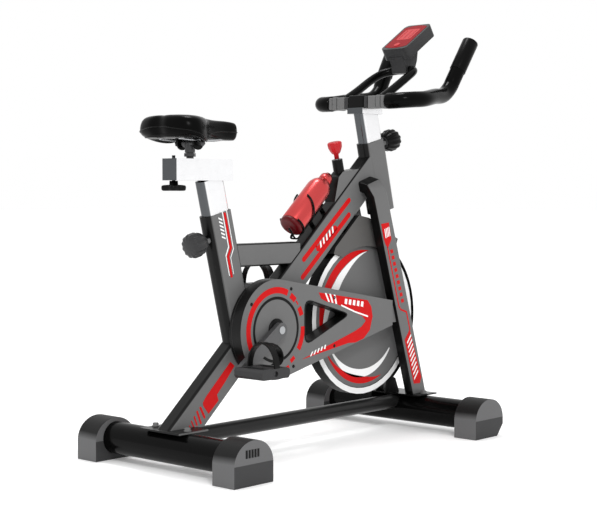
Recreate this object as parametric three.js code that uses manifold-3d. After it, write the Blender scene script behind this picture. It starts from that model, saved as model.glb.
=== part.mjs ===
// Indoor spin bike: a belt-driven flywheel bike on two stabiliser tubes, with a sliding saddle,
// height-adjusted seat and handlebar posts, and a push-down brake.
// Units are millimetres, +Z is up and the bike faces +X. The rider's right is -Y.
// Inside this file X is measured from the rear faces of the rear feet; the last group moves the
// origin to the middle of the bike's length.

import * as THREE from "three";
import { mergeVertices } from "three/addons/utils/BufferGeometryUtils.js";
import Module from "manifold-3d";

const wasm = await Module();
wasm.setup();

// ---------------------------------------------------------------- driving dimensions

const OVERALL_LENGTH = 1060.6;
const GAP = 0.3; // between pieces that touch on the real bike
const WALL = 2.5; // tube wall of the welded frame

// Base
const REAR_BASE_WIDTH = 530;
const FRONT_BASE_WIDTH = 588;
const FOOT_LENGTH = 122; // along X
const FOOT_WIDTH = 68; // along Y
const FOOT_HEIGHT = 100;
const FOOT_SIDE_HEIGHT = 46; // where the dome starts
const BASE_TUBE_RADIUS = 38;
const BASE_TUBE_Z = 52;
const REAR_BASE_X = FOOT_LENGTH / 2;
const FRONT_BASE_X = 907;
const TUBE_IN_REAR_FOOT = 50;
const TUBE_IN_FRONT_FOOT = 24; // shorter, to leave room for the transport wheel
const BEAM_RADIUS = 19;
const BEAM_Z = 70;
const PLATE_THICKNESS = 4;
const PLATE_TOP_Z = BASE_TUBE_Z + BASE_TUBE_RADIUS + GAP + PLATE_THICKNESS;
const WHEEL_RADIUS = 22;
const WHEEL_WIDTH = 20;
const WHEEL_INSET = 20; // from the foot's outer face to the middle of the wheel
const WHEEL_X = 942;
const WHEEL_Z = 29;

// Upright tubes
const MAST_LEAN = THREE.MathUtils.degToRad(14); // seat tube and head tube lean back by this
const SLEEVE = { length: 82, width: 44, corner: 17 };
const SOCKET = { length: 73, width: 37, corner: 14.5 };
const POST = { length: 72, width: 36, corner: 14 };
const SEAT_PIN_DROP = 56; // the pull pins' distance below the tube tops
const HEAD_PIN_DROP = 16;
const BOSS_LENGTH = 12;
const BOSS_RADIUS = 11;
const BOSS_BORE = 5.2;
const SEAT_TUBE_TOP = { x: 202, z: 588 };
const HEAD_TOP = { x: 773, z: 772 };
const HEAD_LENGTH = 190;
const MAIN_TUBE = { length: 80, width: 42, corner: 8 };
const MAIN_TUBE_START = { x: 98, z: 99 };
const MAIN_TUBE_SLOPE = THREE.MathUtils.degToRad(41.8);
const TOP_TUBE = { height: 56, width: 36, corner: 7 };
const TOP_TUBE_Z = 486;

// Fork
const LEG = { length: 56, width: 30, corner: 6 };
const LEG_Y = 51;
const LEG_LEAN = THREE.MathUtils.degToRad(17.4);
const LEG_BEND = 34;
const LEG_TOP_HEIGHT = 592; // along the leaning leg, from the plate to the arch's centre line

// Drive
const CRANK = { x: 347, z: 306 };
const CRANK_LENGTH = 155;
const CRANK_ANGLE = THREE.MathUtils.degToRad(213); // right arm, from +X towards +Z
const AXLE = { x: 728, z: 310 };
const DRIVE_PULLEY_RADIUS = 92;
const WHEEL_PULLEY_RADIUS = 28;
const BELT_Y = -42;
const BELT_WIDTH = 12;
const BELT_THICKNESS = 3;
const FLYWHEEL_RADIUS = 203;
const FLYWHEEL_WIDTH = 34;
const FLYWHEEL_WEB = 20;
const FLYWHEEL_HUB_RADIUS = 30;
const RIM_INNER_RADIUS = 187;
const AXLE_RADIUS = 8;
const AXLE_BORE = 8.4;
const ARM_END_RADII = { crank: 18, pedal: 13 };
const PEDAL_AXLE_RADIUS = 6;

// Guard
const GUARD_REAR_RADIUS = 122;
const GUARD_INNER_Y = -24;
const GUARD_OUTER_Y = -61;
const GUARD_SPLIT_Y = -31;
const GUARD_WALL = 2.5;
const GUARD_END_X = 795;
const GUARD_END_TOP_Z = 352;
const GUARD_END_BOTTOM_Z = 286;

// Saddle, posts and handlebar
const SEAT_RAIL = { x0: 58, x1: 238, z0: 664, z1: 714, width: 48, wall: 3 };
const SEAT_POST_LENGTH = 290;
const STUB_X = 122;
const SADDLE = { rear: 22, nose: 266, halfWidth: 92, bottom: 768, top: 812 };
const HANDLE_POST_TOP_Z = 854;
const HANDLE_POST_LENGTH = 240;
const BAR_RADIUS = 14;
const SLEEVE_RADIUS = 20.5; // the thick soft-touch tube of the arms
const GRIP_RADIUS = 22;
const BAR_X = 731;
const BAR_Z = 872;
const BAR_CORNER_Y = 160;
const HORN_BEND = { x: 956, y: 122, z: 909 };
const HORN_TIP = { x: 1042, y: 132, z: 1046 };

// Brake
const BRAKE_LEAN = THREE.MathUtils.degToRad(14);
const BRAKE_TOP = { x: 630, z: 762 };
const BRAKE_TRAVEL = 6;

// ---------------------------------------------------------------- materials

const finish = (color, roughness, metalness) =>
  new THREE.MeshStandardMaterial({ color, roughness, metalness });
const FRAME_PAINT = finish(0x2b2b2d, 0.4, 0.3);
const GREY_PLASTIC = finish(0x77787a, 0.6, 0);
const BLACK_PLASTIC = finish(0x161617, 0.45, 0);
const CHROME = finish(0xe8e9ea, 0.12, 1);
const STEEL = finish(0xa9abad, 0.35, 1);
const PADDING = finish(0x101011, 0.35, 0);
const FOAM = finish(0x1b1b1c, 0.8, 0);
const RED_PLASTIC = finish(0xc83a40, 0.35, 0);
const RED_BOTTLE = finish(0xd0494f, 0.25, 0.1);
const RUBBER = finish(0x202021, 0.8, 0);

// ---------------------------------------------------------------- shape helpers

// A closed geometry as a manifold solid.
function solidOf(geometry) {
  const bare = geometry.clone();
  bare.deleteAttribute("normal");
  bare.deleteAttribute("uv");
  const merged = mergeVertices(bare, 1e-3);
  return new wasm.Manifold(
    new wasm.Mesh({
      numProp: 3,
      vertProperties: new Float32Array(merged.attributes.position.array),
      triVerts: new Uint32Array(merged.index.array),
    }),
  );
}

// A manifold solid as a geometry with flat faces.
function geometryOf(solid) {
  const mesh = solid.getMesh();
  const indexed = new THREE.BufferGeometry();
  indexed.setAttribute("position", new THREE.BufferAttribute(mesh.vertProperties, 3));
  indexed.setIndex(new THREE.BufferAttribute(mesh.triVerts, 1));
  const flat = indexed.toNonIndexed();
  flat.computeVertexNormals();
  return flat;
}

const cut = (body, ...tools) =>
  geometryOf(tools.reduce((rest, tool) => rest.subtract(solidOf(tool)), solidOf(body)));
const join = (first, ...rest) =>
  geometryOf(rest.reduce((sum, piece) => sum.add(solidOf(piece)), solidOf(first)));

const boxAt = (x0, x1, y0, y1, z0, z1) =>
  new THREE.BoxGeometry(x1 - x0, y1 - y0, z1 - z0).translate(
    (x0 + x1) / 2,
    (y0 + y1) / 2,
    (z0 + z1) / 2,
  );

// A cylinder between two points, r0 at the first and r1 at the second.
function rod(from, to, r0, r1 = r0, sides = 24) {
  const a = new THREE.Vector3(...from);
  const b = new THREE.Vector3(...to);
  const axis = b.clone().sub(a);
  const turn = new THREE.Quaternion().setFromUnitVectors(
    new THREE.Vector3(0, 1, 0),
    axis.clone().normalize(),
  );
  const middle = a.add(b).multiplyScalar(0.5);
  return new THREE.CylinderGeometry(r1, r0, axis.length(), sides)
    .applyQuaternion(turn)
    .translate(middle.x, middle.y, middle.z);
}

// A ring or pipe between two points.
const pipe = (from, to, outer, inner, sides = 24) => {
  const a = new THREE.Vector3(...from);
  const b = new THREE.Vector3(...to);
  const past = b.clone().sub(a).normalize();
  const start = a.clone().sub(past).toArray();
  const end = b.clone().add(past).toArray();
  return cut(rod(from, to, outer, outer, sides), rod(start, end, inner, inner, sides));
};

// A rectangle with round corners, centred on the origin.
function roundedRectangle(width, height, corner) {
  const w = width / 2;
  const h = height / 2;
  const shape = new THREE.Shape();
  shape.moveTo(-w + corner, -h);
  shape.lineTo(w - corner, -h);
  shape.absarc(w - corner, -h + corner, corner, -Math.PI / 2, 0, false);
  shape.lineTo(w, h - corner);
  shape.absarc(w - corner, h - corner, corner, 0, Math.PI / 2, false);
  shape.lineTo(-w + corner, h);
  shape.absarc(-w + corner, h - corner, corner, Math.PI / 2, Math.PI, false);
  shape.lineTo(-w, -h + corner);
  shape.absarc(-w + corner, -h + corner, corner, Math.PI, 1.5 * Math.PI, false);
  return shape;
}

// A shape drawn in X and Z, extruded along Y between two values.
const slab = (shape, y0, y1, curveSegments = 8) =>
  new THREE.ExtrudeGeometry(shape, { depth: y1 - y0, bevelEnabled: false, curveSegments })
    .rotateX(Math.PI / 2)
    .translate(0, y1, 0);

const polygon = (...points) => new THREE.Shape(points.map(([x, z]) => new THREE.Vector2(x, z)));

// A straight bar of a rounded section along a mast: `base` is its lower end in the XZ plane,
// `lean` tips its top towards -X and `section` has length (fore and aft), width and corner.
const mastBar = (section, base, length, lean) =>
  new THREE.ExtrudeGeometry(
    roundedRectangle(section.length, section.width, section.corner),
    { depth: length, bevelEnabled: false, curveSegments: 4 },
  )
    .rotateY(-lean)
    .translate(base.x, 0, base.z);

// The point `distance` up a mast whose top leans back.
const along = (base, lean, distance) => ({
  x: base.x - Math.sin(lean) * distance,
  z: base.z + Math.cos(lean) * distance,
});

// A bar of any shape along a curve.
const sweep = (shape, curve, steps, curveSegments = 3) =>
  new THREE.ExtrudeGeometry(shape, {
    extrudePath: curve,
    steps,
    bevelEnabled: false,
    curveSegments,
  });

const circle = (radius) => {
  const shape = new THREE.Shape();
  shape.absarc(0, 0, radius, 0, 2 * Math.PI, false);
  return shape;
};

// A smooth curve through points.
const smooth = (points, tension = 0.5) =>
  new THREE.CatmullRomCurve3(
    points.map((p) => new THREE.Vector3(...p)),
    false,
    "catmullrom",
    tension,
  );

const grown = (section, by) => ({
  length: section.length + 2 * by,
  width: section.width + 2 * by,
  corner: section.corner + by,
});

const bike = new THREE.Group();
function add(name, geometry, material) {
  const mesh = new THREE.Mesh(geometry, material);
  mesh.name = name;
  bike.add(mesh);
}

const SIDES = [
  { label: "right", sign: -1 },
  { label: "left", sign: 1 },
];

// Mirrors a geometry made for the right-hand side (-Y) to the left.
function onSide(geometry, sign) {
  if (sign < 0) return geometry;
  const flipped = geometryOf(solidOf(geometry).mirror([0, 1, 0]));
  return flipped;
}

// ---------------------------------------------------------------- base

function footOutline(chamfered) {
  const half = FOOT_LENGTH / 2;
  const shape = new THREE.Shape();
  shape.moveTo(-half, 0);
  if (chamfered) {
    shape.lineTo(half - 26, 0);
    shape.lineTo(half, 30);
  } else {
    shape.lineTo(half, 0);
  }
  shape.lineTo(half, FOOT_SIDE_HEIGHT);
  shape.absellipse(
    0,
    FOOT_SIDE_HEIGHT,
    half,
    FOOT_HEIGHT - FOOT_SIDE_HEIGHT,
    0,
    Math.PI,
    false,
  );
  return shape;
}

// A foot for the right-hand end of a stabiliser of the given width.
function foot(baseX, baseWidth, chamfered) {
  const outer = -baseWidth / 2;
  const inner = outer + FOOT_WIDTH;
  const body = slab(footOutline(chamfered), outer, inner, 12).translate(baseX, 0, 0);
  const depth = chamfered ? TUBE_IN_FRONT_FOOT : TUBE_IN_REAR_FOOT;
  const socket = rod(
    [baseX, inner - depth - GAP, BASE_TUBE_Z],
    [baseX, inner + 1, BASE_TUBE_Z],
    BASE_TUBE_RADIUS + GAP,
    BASE_TUBE_RADIUS + GAP,
    28,
  );
  const tools = [socket];
  if (chamfered) {
    const middle = outer + WHEEL_INSET;
    const half = WHEEL_WIDTH / 2 + 2;
    tools.push(boxAt(WHEEL_X - 27, WHEEL_X + 60, middle - half, middle + half, -1, WHEEL_Z + 27));
    const pin = rod([WHEEL_X, middle - half - 1, WHEEL_Z], [WHEEL_X, middle + half + 1, WHEEL_Z], 3.8);
    return join(cut(body, ...tools), pin);
  }
  return cut(body, ...tools);
}

function baseTube(x, width, depthInFoot) {
  const end = width / 2 - FOOT_WIDTH + depthInFoot;
  return pipe(
    [x, -end, BASE_TUBE_Z],
    [x, end, BASE_TUBE_Z],
    BASE_TUBE_RADIUS,
    BASE_TUBE_RADIUS - WALL,
    28,
  );
}

add("rear_stabiliser_tube", baseTube(REAR_BASE_X, REAR_BASE_WIDTH, TUBE_IN_REAR_FOOT), FRAME_PAINT);
add("front_stabiliser_tube", baseTube(FRONT_BASE_X, FRONT_BASE_WIDTH, TUBE_IN_FRONT_FOOT), FRAME_PAINT);
for (const { label, sign } of SIDES) {
  add(`rear_foot_${label}`, onSide(foot(REAR_BASE_X, REAR_BASE_WIDTH, false), sign), GREY_PLASTIC);
  add(`front_foot_${label}`, onSide(foot(FRONT_BASE_X, FRONT_BASE_WIDTH, true), sign), GREY_PLASTIC);
  const wheelY = -FRONT_BASE_WIDTH / 2 + WHEEL_INSET;
  const wheel = pipe(
    [WHEEL_X, wheelY - WHEEL_WIDTH / 2, WHEEL_Z],
    [WHEEL_X, wheelY + WHEEL_WIDTH / 2, WHEEL_Z],
    WHEEL_RADIUS,
    4.2,
    20,
  );
  add(`transport_wheel_${label}`, onSide(wheel, sign), RUBBER);
}

const mountPlate = (x, halfLength, halfWidth) =>
  boxAt(
    x - halfLength,
    x + halfLength,
    -halfWidth,
    halfWidth,
    PLATE_TOP_Z - PLATE_THICKNESS,
    PLATE_TOP_Z,
  );
const baseTubeTool = (x, grow) =>
  rod(
    [x, -260, BASE_TUBE_Z],
    [x, 260, BASE_TUBE_Z],
    BASE_TUBE_RADIUS + grow,
    BASE_TUBE_RADIUS + grow,
    28,
  );
add(
  "centre_beam",
  cut(
    pipe([84, 0, BEAM_Z], [886, 0, BEAM_Z], BEAM_RADIUS, BEAM_RADIUS - WALL, 20),
    baseTubeTool(REAR_BASE_X, GAP),
    baseTubeTool(FRONT_BASE_X, GAP),
    boxAt(0, 110, -80, 80, PLATE_TOP_Z - PLATE_THICKNESS - GAP, 200),
  ),
  FRAME_PAINT,
);
const rearPlate = mountPlate(REAR_BASE_X + 8, 46, 66); // welded to the main tube
add("front_mount_plate", mountPlate(FRONT_BASE_X, 42, 92), FRAME_PAINT);

// ---------------------------------------------------------------- welded frame

const CUT_PAST = 60;
const seatLength = 330;
const seatBase = along(SEAT_TUBE_TOP, MAST_LEAN, -seatLength);

// The long main tube runs from the rear plate up to the head tube.
const mainTubeLean = MAIN_TUBE_SLOPE - Math.PI / 2;
const mainTubeBar = (section, start, length) =>
  mastBar(section, along(MAIN_TUBE_START, mainTubeLean, start), length, mainTubeLean);
const mainTubeOuter = (grow) => mainTubeBar(grown(MAIN_TUBE, grow), -60, 1000);
const headSleeve = (grow) =>
  mastBar(
    grown(SLEEVE, grow),
    along(HEAD_TOP, MAST_LEAN, -HEAD_LENGTH - (grow > 0 ? CUT_PAST : 0)),
    HEAD_LENGTH + (grow > 0 ? 2 * CUT_PAST : 0),
    MAST_LEAN,
  );
const seatSleeve = (grow) =>
  mastBar(grown(SLEEVE, grow), seatBase, seatLength + (grow > 0 ? CUT_PAST : 0), MAST_LEAN);
const socketBar = (top, length) =>
  mastBar(SOCKET, along(top, MAST_LEAN, -length - 1), length + 2, MAST_LEAN);
const bracketShell = (radius, half) =>
  rod([CRANK.x, -half, CRANK.z], [CRANK.x, half, CRANK.z], radius, radius, 32);

const SHELL_RADIUS = 26;
const SHELL_HALF = 30;
const brakeAt = (distance) => ({
  x: BRAKE_TOP.x + Math.sin(BRAKE_LEAN) * distance,
  z: BRAKE_TOP.z - Math.cos(BRAKE_LEAN) * distance,
});
const brakeRod = (from, to, radius, endRadius = radius, sides = 20) => {
  const a = brakeAt(from);
  const b = brakeAt(to);
  return rod([a.x, 0, a.z], [b.x, 0, b.z], radius, endRadius, sides);
};

const hollowMain = grown(MAIN_TUBE, -3); // its wall is 3 mm
add(
  "main_tube",
  cut(
    join(cut(mainTubeOuter(0), boxAt(-200, 260, -60, 60, -100, PLATE_TOP_Z - 1)), rearPlate),
    cut(mainTubeBar(hollowMain, -70, 1020), boxAt(-200, 260, -60, 60, -100, PLATE_TOP_Z)),
    headSleeve(GAP),
    mastBar(
      { length: 400, width: 90, corner: 5 },
      along(HEAD_TOP, MAST_LEAN, -400),
      800,
      MAST_LEAN,
    ).translate(200 + SLEEVE.length / 2 - 20, 0, 0),
    bracketShell(SHELL_RADIUS + GAP, 60),
    brakeRod(0, 400, 7),
  ),
  FRAME_PAINT,
);
add(
  "seat_tube",
  cut(
    join(seatSleeve(0), seatBoss(0)),
    socketBar(SEAT_TUBE_TOP, 300),
    mainTubeOuter(GAP),
    bracketShell(SHELL_RADIUS + GAP, 60),
    boxAt(150, 420, -60, 60, 0, 262),
    seatBoss(1),
  ),
  FRAME_PAINT,
);
add(
  "head_tube",
  cut(join(headSleeve(0), headBoss(0)), socketBar(HEAD_TOP, HEAD_LENGTH), headBoss(1)),
  FRAME_PAINT,
);
const topTubeSection = { length: TOP_TUBE.height, width: TOP_TUBE.width, corner: TOP_TUBE.corner };
const topTubeBar = (section, x0, x1) =>
  mastBar(section, { x: x0, z: TOP_TUBE_Z }, x1 - x0, -Math.PI / 2);
add(
  "top_tube",
  cut(
    topTubeBar(topTubeSection, 232, 500),
    topTubeBar(grown(topTubeSection, -WALL), 220, 520),
    seatSleeve(GAP),
    mainTubeOuter(GAP),
    boxAt(480, 560, -40, 40, 400, 600),
  ),
  FRAME_PAINT,
);
add(
  "crank_bearing_shell",
  cut(bracketShell(SHELL_RADIUS, SHELL_HALF), bracketShell(10.2, SHELL_HALF + 1)),
  FRAME_PAINT,
);

// A short threaded boss for a pull pin, square to a leaning tube. `bore` 1 gives its hole.
function seatBoss(bore) {
  return bossAt(along(SEAT_TUBE_TOP, MAST_LEAN, -SEAT_PIN_DROP), -1, bore);
}
function headBoss(bore) {
  return bossAt(along(HEAD_TOP, MAST_LEAN, -HEAD_PIN_DROP), 1, bore);
}
function bossAt(point, side, bore) {
  const face = SLEEVE.length / 2;
  if (bore) return pinAxisRod(point, side, face - 21, face + 40, BOSS_BORE);
  return pinAxisRod(point, side, face - 3, face + BOSS_LENGTH, BOSS_RADIUS);
}

// A rod square to the mast, `from` and `to` measured from the mast's axis; side -1 is rearward.
function pinAxisRod(point, side, from, to, radius, endRadius = radius, sides = 20) {
  const dx = Math.cos(MAST_LEAN) * side;
  const dz = Math.sin(MAST_LEAN) * side;
  return rod(
    [point.x + dx * from, 0, point.z + dz * from],
    [point.x + dx * to, 0, point.z + dz * to],
    radius,
    endRadius,
    sides,
  );
}

// ---------------------------------------------------------------- fork

const legTop = along({ x: FRONT_BASE_X, z: PLATE_TOP_Z }, LEG_LEAN, LEG_TOP_HEIGHT);

// One leg and half of the arch, in the leaning plane of the fork.
function forkLeg(grow) {
  const top = LEG_TOP_HEIGHT;
  const bendStart = new THREE.Vector3(-LEG_Y, top - LEG_BEND, 0);
  const corner = new THREE.Vector3(-LEG_Y, top, 0);
  const bendEnd = new THREE.Vector3(-LEG_Y + LEG_BEND, top, 0);
  const path = new THREE.CurvePath();
  path.add(new THREE.LineCurve3(new THREE.Vector3(-LEG_Y, -30, 0), bendStart));
  path.add(new THREE.QuadraticBezierCurve3(bendStart, corner, bendEnd));
  path.add(new THREE.LineCurve3(bendEnd, new THREE.Vector3(10, top, 0)));
  const section = grown(LEG, grow);
  const shape = roundedRectangle(section.length, section.width, section.corner);
  const leaning = new THREE.Matrix4().makeBasis(
    new THREE.Vector3(0, 1, 0),
    new THREE.Vector3(-Math.sin(LEG_LEAN), 0, Math.cos(LEG_LEAN)),
    new THREE.Vector3(Math.cos(LEG_LEAN), 0, Math.sin(LEG_LEAN)),
  );
  return sweep(shape, path, 26, 1)
    .applyMatrix4(leaning)
    .translate(FRONT_BASE_X, 0, PLATE_TOP_Z);
}

const forkTools = [
  forkLeg(-WALL),
  boxAt(700, 1100, -120, 120, 0, PLATE_TOP_Z + GAP),
  mainTubeOuter(GAP),
  headSleeve(GAP),
  boxAt(500, 1000, -8, 200, 0, 900),
];
for (const { label, sign } of SIDES) {
  add(`fork_leg_${label}`, onSide(cut(forkLeg(0), ...forkTools), sign), FRAME_PAINT);
  add(`axle_bracket_${label}`, onSide(axleBracket(), sign), FRAME_PAINT);
}

// A plate from the back of a fork leg to the flywheel's axle.
function axleBracket() {
  const shape = new THREE.Shape();
  const radius = 17; // of its rear end, round the axle
  const frontX = 850; // inside the fork leg, which cuts it to length
  shape.moveTo(AXLE.x, AXLE.z - radius);
  shape.lineTo(frontX, AXLE.z - radius);
  shape.lineTo(frontX, AXLE.z + 2 * radius);
  shape.lineTo(AXLE.x, AXLE.z + radius);
  shape.absarc(AXLE.x, AXLE.z, radius, Math.PI / 2, 1.5 * Math.PI, false);
  return cut(
    slab(shape, -57, -53),
    rod([AXLE.x, -70, AXLE.z], [AXLE.x, -40, AXLE.z], AXLE_BORE),
    forkLeg(GAP),
    boxAt(830, 900, -80, 0, 200, 400),
  );
}

add(
  "flywheel_axle",
  rod([AXLE.x, -57.8, AXLE.z], [AXLE.x, 64, AXLE.z], AXLE_RADIUS),
  STEEL,
);

// ---------------------------------------------------------------- crank, belt and flywheel

const yRod = (x, z, y0, y1, radius, sides = 24) => rod([x, y0, z], [x, y1, z], radius, radius, sides);
const SPINDLE_RADIUS = 9.8;
const ARM_INNER_Y = -67;
const ARM_OUTER_Y = -81;
const PEDAL_INNER_Y = -94;
const PEDAL_OUTER_Y = -184;
const PEDAL_LENGTH = 92;
const PEDAL_THICKNESS = 24;

add(
  "crank_spindle",
  yRod(CRANK.x, CRANK.z, ARM_OUTER_Y - 1, -ARM_OUTER_Y + 1, SPINDLE_RADIUS),
  STEEL,
);
add(
  "drive_pulley",
  cut(
    yRod(CRANK.x, CRANK.z, BELT_Y - BELT_WIDTH / 2, BELT_Y + BELT_WIDTH / 2, DRIVE_PULLEY_RADIUS, 48),
    yRod(CRANK.x, CRANK.z, -60, 0, SPINDLE_RADIUS + GAP),
  ),
  STEEL,
);

// The outline of a loop round two circles on the crank and the axle.
function loopOutline(first, second) {
  const dx = AXLE.x - CRANK.x;
  const dz = AXLE.z - CRANK.z;
  const span = Math.hypot(dx, dz);
  const tilt = Math.atan2(dz, dx);
  const open = Math.acos((first - second) / span);
  const shape = new THREE.Shape();
  shape.absarc(CRANK.x, CRANK.z, first, tilt + open, tilt - open + 2 * Math.PI, false);
  shape.absarc(AXLE.x, AXLE.z, second, tilt - open, tilt + open, false);
  shape.closePath();
  return shape;
}
add(
  "drive_belt",
  cut(
    slab(
      loopOutline(DRIVE_PULLEY_RADIUS + BELT_THICKNESS, WHEEL_PULLEY_RADIUS + BELT_THICKNESS),
      BELT_Y - 5,
      BELT_Y + 5,
      16,
    ),
    slab(loopOutline(DRIVE_PULLEY_RADIUS + 0.5, WHEEL_PULLEY_RADIUS + 0.5), -60, -20, 16),
  ),
  RUBBER,
);
add(
  "flywheel_pulley",
  cut(
    join(
      yRod(AXLE.x, AXLE.z, BELT_Y - BELT_WIDTH / 2, BELT_Y + BELT_WIDTH / 2, WHEEL_PULLEY_RADIUS),
      yRod(AXLE.x, AXLE.z, BELT_Y, -FLYWHEEL_WIDTH / 2 - 3.5, 15),
    ),
    yRod(AXLE.x, AXLE.z, -60, 0, AXLE_BORE),
  ),
  STEEL,
);

// The flywheel's half section: a hub, a thinner web and a heavy rim.
function flywheelGeometry() {
  const half = FLYWHEEL_WIDTH / 2;
  const bore = AXLE_BORE;
  const hub = FLYWHEEL_HUB_RADIUS;
  const rimInner = RIM_INNER_RADIUS;
  const webHalf = FLYWHEEL_WEB / 2;
  const hubHalf = half + 3;
  const profile = [
    [bore, -hubHalf],
    [hub, -hubHalf],
    [hub, -webHalf],
    [rimInner, -webHalf],
    [rimInner, -half],
    [FLYWHEEL_RADIUS, -half],
    [FLYWHEEL_RADIUS, half],
    [rimInner, half],
    [rimInner, webHalf],
    [hub, webHalf],
    [hub, hubHalf],
    [bore, hubHalf],
    [bore, -hubHalf],
  ].map(([r, y]) => new THREE.Vector2(r, y));
  return new THREE.LatheGeometry(profile, 44).translate(AXLE.x, 0, AXLE.z);
}
add("flywheel", flywheelGeometry(), STEEL);

// A crank arm with its pedal axle, for an arm pointing at `angle` on the right-hand side.
function crankArm(angle) {
  const end = {
    x: CRANK.x + Math.cos(angle) * CRANK_LENGTH,
    z: CRANK.z + Math.sin(angle) * CRANK_LENGTH,
  };
  const arm = new THREE.Shape();
  const turn = Math.PI / 2;
  arm.absarc(CRANK.x, CRANK.z, ARM_END_RADII.crank, angle + turn, angle + 3 * turn, false);
  arm.absarc(end.x, end.z, ARM_END_RADII.pedal, angle - turn, angle + turn, false);
  arm.closePath();
  return cut(
    join(
      slab(arm, ARM_OUTER_Y, ARM_INNER_Y),
      yRod(end.x, end.z, PEDAL_OUTER_Y + 6, ARM_OUTER_Y + 2, PEDAL_AXLE_RADIUS),
    ),
    yRod(CRANK.x, CRANK.z, -120, 0, SPINDLE_RADIUS + GAP),
  );
}

const PEDAL_AXIS = {
  right: {
    x: CRANK.x + Math.cos(CRANK_ANGLE) * CRANK_LENGTH,
    z: CRANK.z + Math.sin(CRANK_ANGLE) * CRANK_LENGTH,
  },
  left: {
    x: CRANK.x - Math.cos(CRANK_ANGLE) * CRANK_LENGTH,
    z: CRANK.z - Math.sin(CRANK_ANGLE) * CRANK_LENGTH,
  },
};

// A platform pedal with two openings, on the right-hand side.
function pedal({ x, z }) {
  const halfLength = PEDAL_LENGTH / 2;
  const halfThick = PEDAL_THICKNESS / 2;
  const windows = [-1, 1].map((side) =>
    boxAt(
      x + side * 24 - 12,
      x + side * 24 + 12,
      PEDAL_OUTER_Y + 12,
      PEDAL_INNER_Y - 12,
      z - 40,
      z + 40,
    ),
  );
  const outline = new THREE.Shape();
  outline.moveTo(x - halfLength + 5, z - halfThick);
  outline.lineTo(x + halfLength - 5, z - halfThick);
  outline.lineTo(x + halfLength, z - halfThick + 6);
  outline.lineTo(x + halfLength, z + halfThick - 6);
  outline.lineTo(x + halfLength - 5, z + halfThick);
  outline.lineTo(x - halfLength + 5, z + halfThick);
  outline.lineTo(x - halfLength, z + halfThick - 6);
  outline.lineTo(x - halfLength, z - halfThick + 6);
  return cut(
    slab(outline, PEDAL_OUTER_Y, PEDAL_INNER_Y),
    ...windows,
    yRod(x, z, PEDAL_OUTER_Y - 1, PEDAL_INNER_Y + 1, PEDAL_AXLE_RADIUS + 0.5),
  );
}

// A toe cage over the pedal's front half: a cross strap and a centre band.
function toeCage({ x, z }) {
  const middle = (PEDAL_INNER_Y + PEDAL_OUTER_Y) / 2;
  const base = z + PEDAL_THICKNESS / 2 + GAP;
  const rise = 58;
  const arch = (halfWidth, height) => {
    const shape = new THREE.Shape();
    shape.moveTo(-halfWidth, 0);
    shape.lineTo(halfWidth, 0);
    shape.absellipse(0, 0, halfWidth, height, 0, Math.PI, false);
    return shape;
  };
  const strap = (width, height, x0, x1, drop) =>
    new THREE.ExtrudeGeometry(arch(width, height), {
      depth: x1 - x0,
      bevelEnabled: false,
      curveSegments: 12,
    })
      .rotateX(Math.PI / 2)
      .rotateZ(Math.PI / 2)
      .translate(x0, middle, base - drop);
  const hoop = cut(strap(45, rise, x - 4, x + 12, 0), strap(41.5, rise - 3.5, x - 10, x + 20, 1));
  const front = PEDAL_LENGTH / 2;
  const band = (reach, height) => {
    const shape = new THREE.Shape();
    shape.moveTo(x, base);
    shape.lineTo(x + front - 4, base);
    shape.bezierCurveTo(
      x + front + reach,
      base + 4,
      x + front + reach - 8,
      base + height,
      x,
      base + height,
    );
    return shape;
  };
  const toe = cut(
    slab(band(26, rise - 0.5), middle - 14, middle + 14),
    slab(band(22, rise - 4), middle - 30, middle + 30),
    boxAt(x - 50, x + front - 12, middle - 40, middle + 40, base - 10, base + rise - 12),
  );
  return join(hoop, toe);
}

for (const { label, sign } of SIDES) {
  const axis = PEDAL_AXIS[label];
  const angle = label === "right" ? CRANK_ANGLE : CRANK_ANGLE + Math.PI;
  add(`crank_arm_${label}`, onSide(crankArm(angle), sign), STEEL);
  add(`pedal_${label}`, onSide(pedal(axis), sign), BLACK_PLASTIC);
  add(`toe_cage_${label}`, onSide(toeCage(axis), sign), BLACK_PLASTIC);
}

// ---------------------------------------------------------------- drive guard

// The guard's outline in side view: round at the rear, tapering to the fork leg. `inset` draws it
// smaller all round and `reach` moves its front end forward.
function guardOutline(inset, reach = 0) {
  const radius = GUARD_REAR_RADIUS - inset;
  const endX = GUARD_END_X + reach;
  const topZ = GUARD_END_TOP_Z - inset;
  const bottomZ = GUARD_END_BOTTOM_Z + inset;
  const tangent = (z, sign) => {
    const dx = GUARD_END_X - CRANK.x;
    const dz = z - CRANK.z;
    return Math.atan2(dz, dx) + sign * Math.acos(radius / Math.hypot(dx, dz));
  };
  const shape = new THREE.Shape();
  shape.moveTo(endX, bottomZ);
  shape.lineTo(endX, topZ);
  shape.lineTo(GUARD_END_X, topZ);
  shape.absarc(CRANK.x, CRANK.z, radius, tangent(topZ, 1), tangent(bottomZ, -1) + 2 * Math.PI, false);
  shape.lineTo(GUARD_END_X, bottomZ);
  return shape;
}

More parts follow.
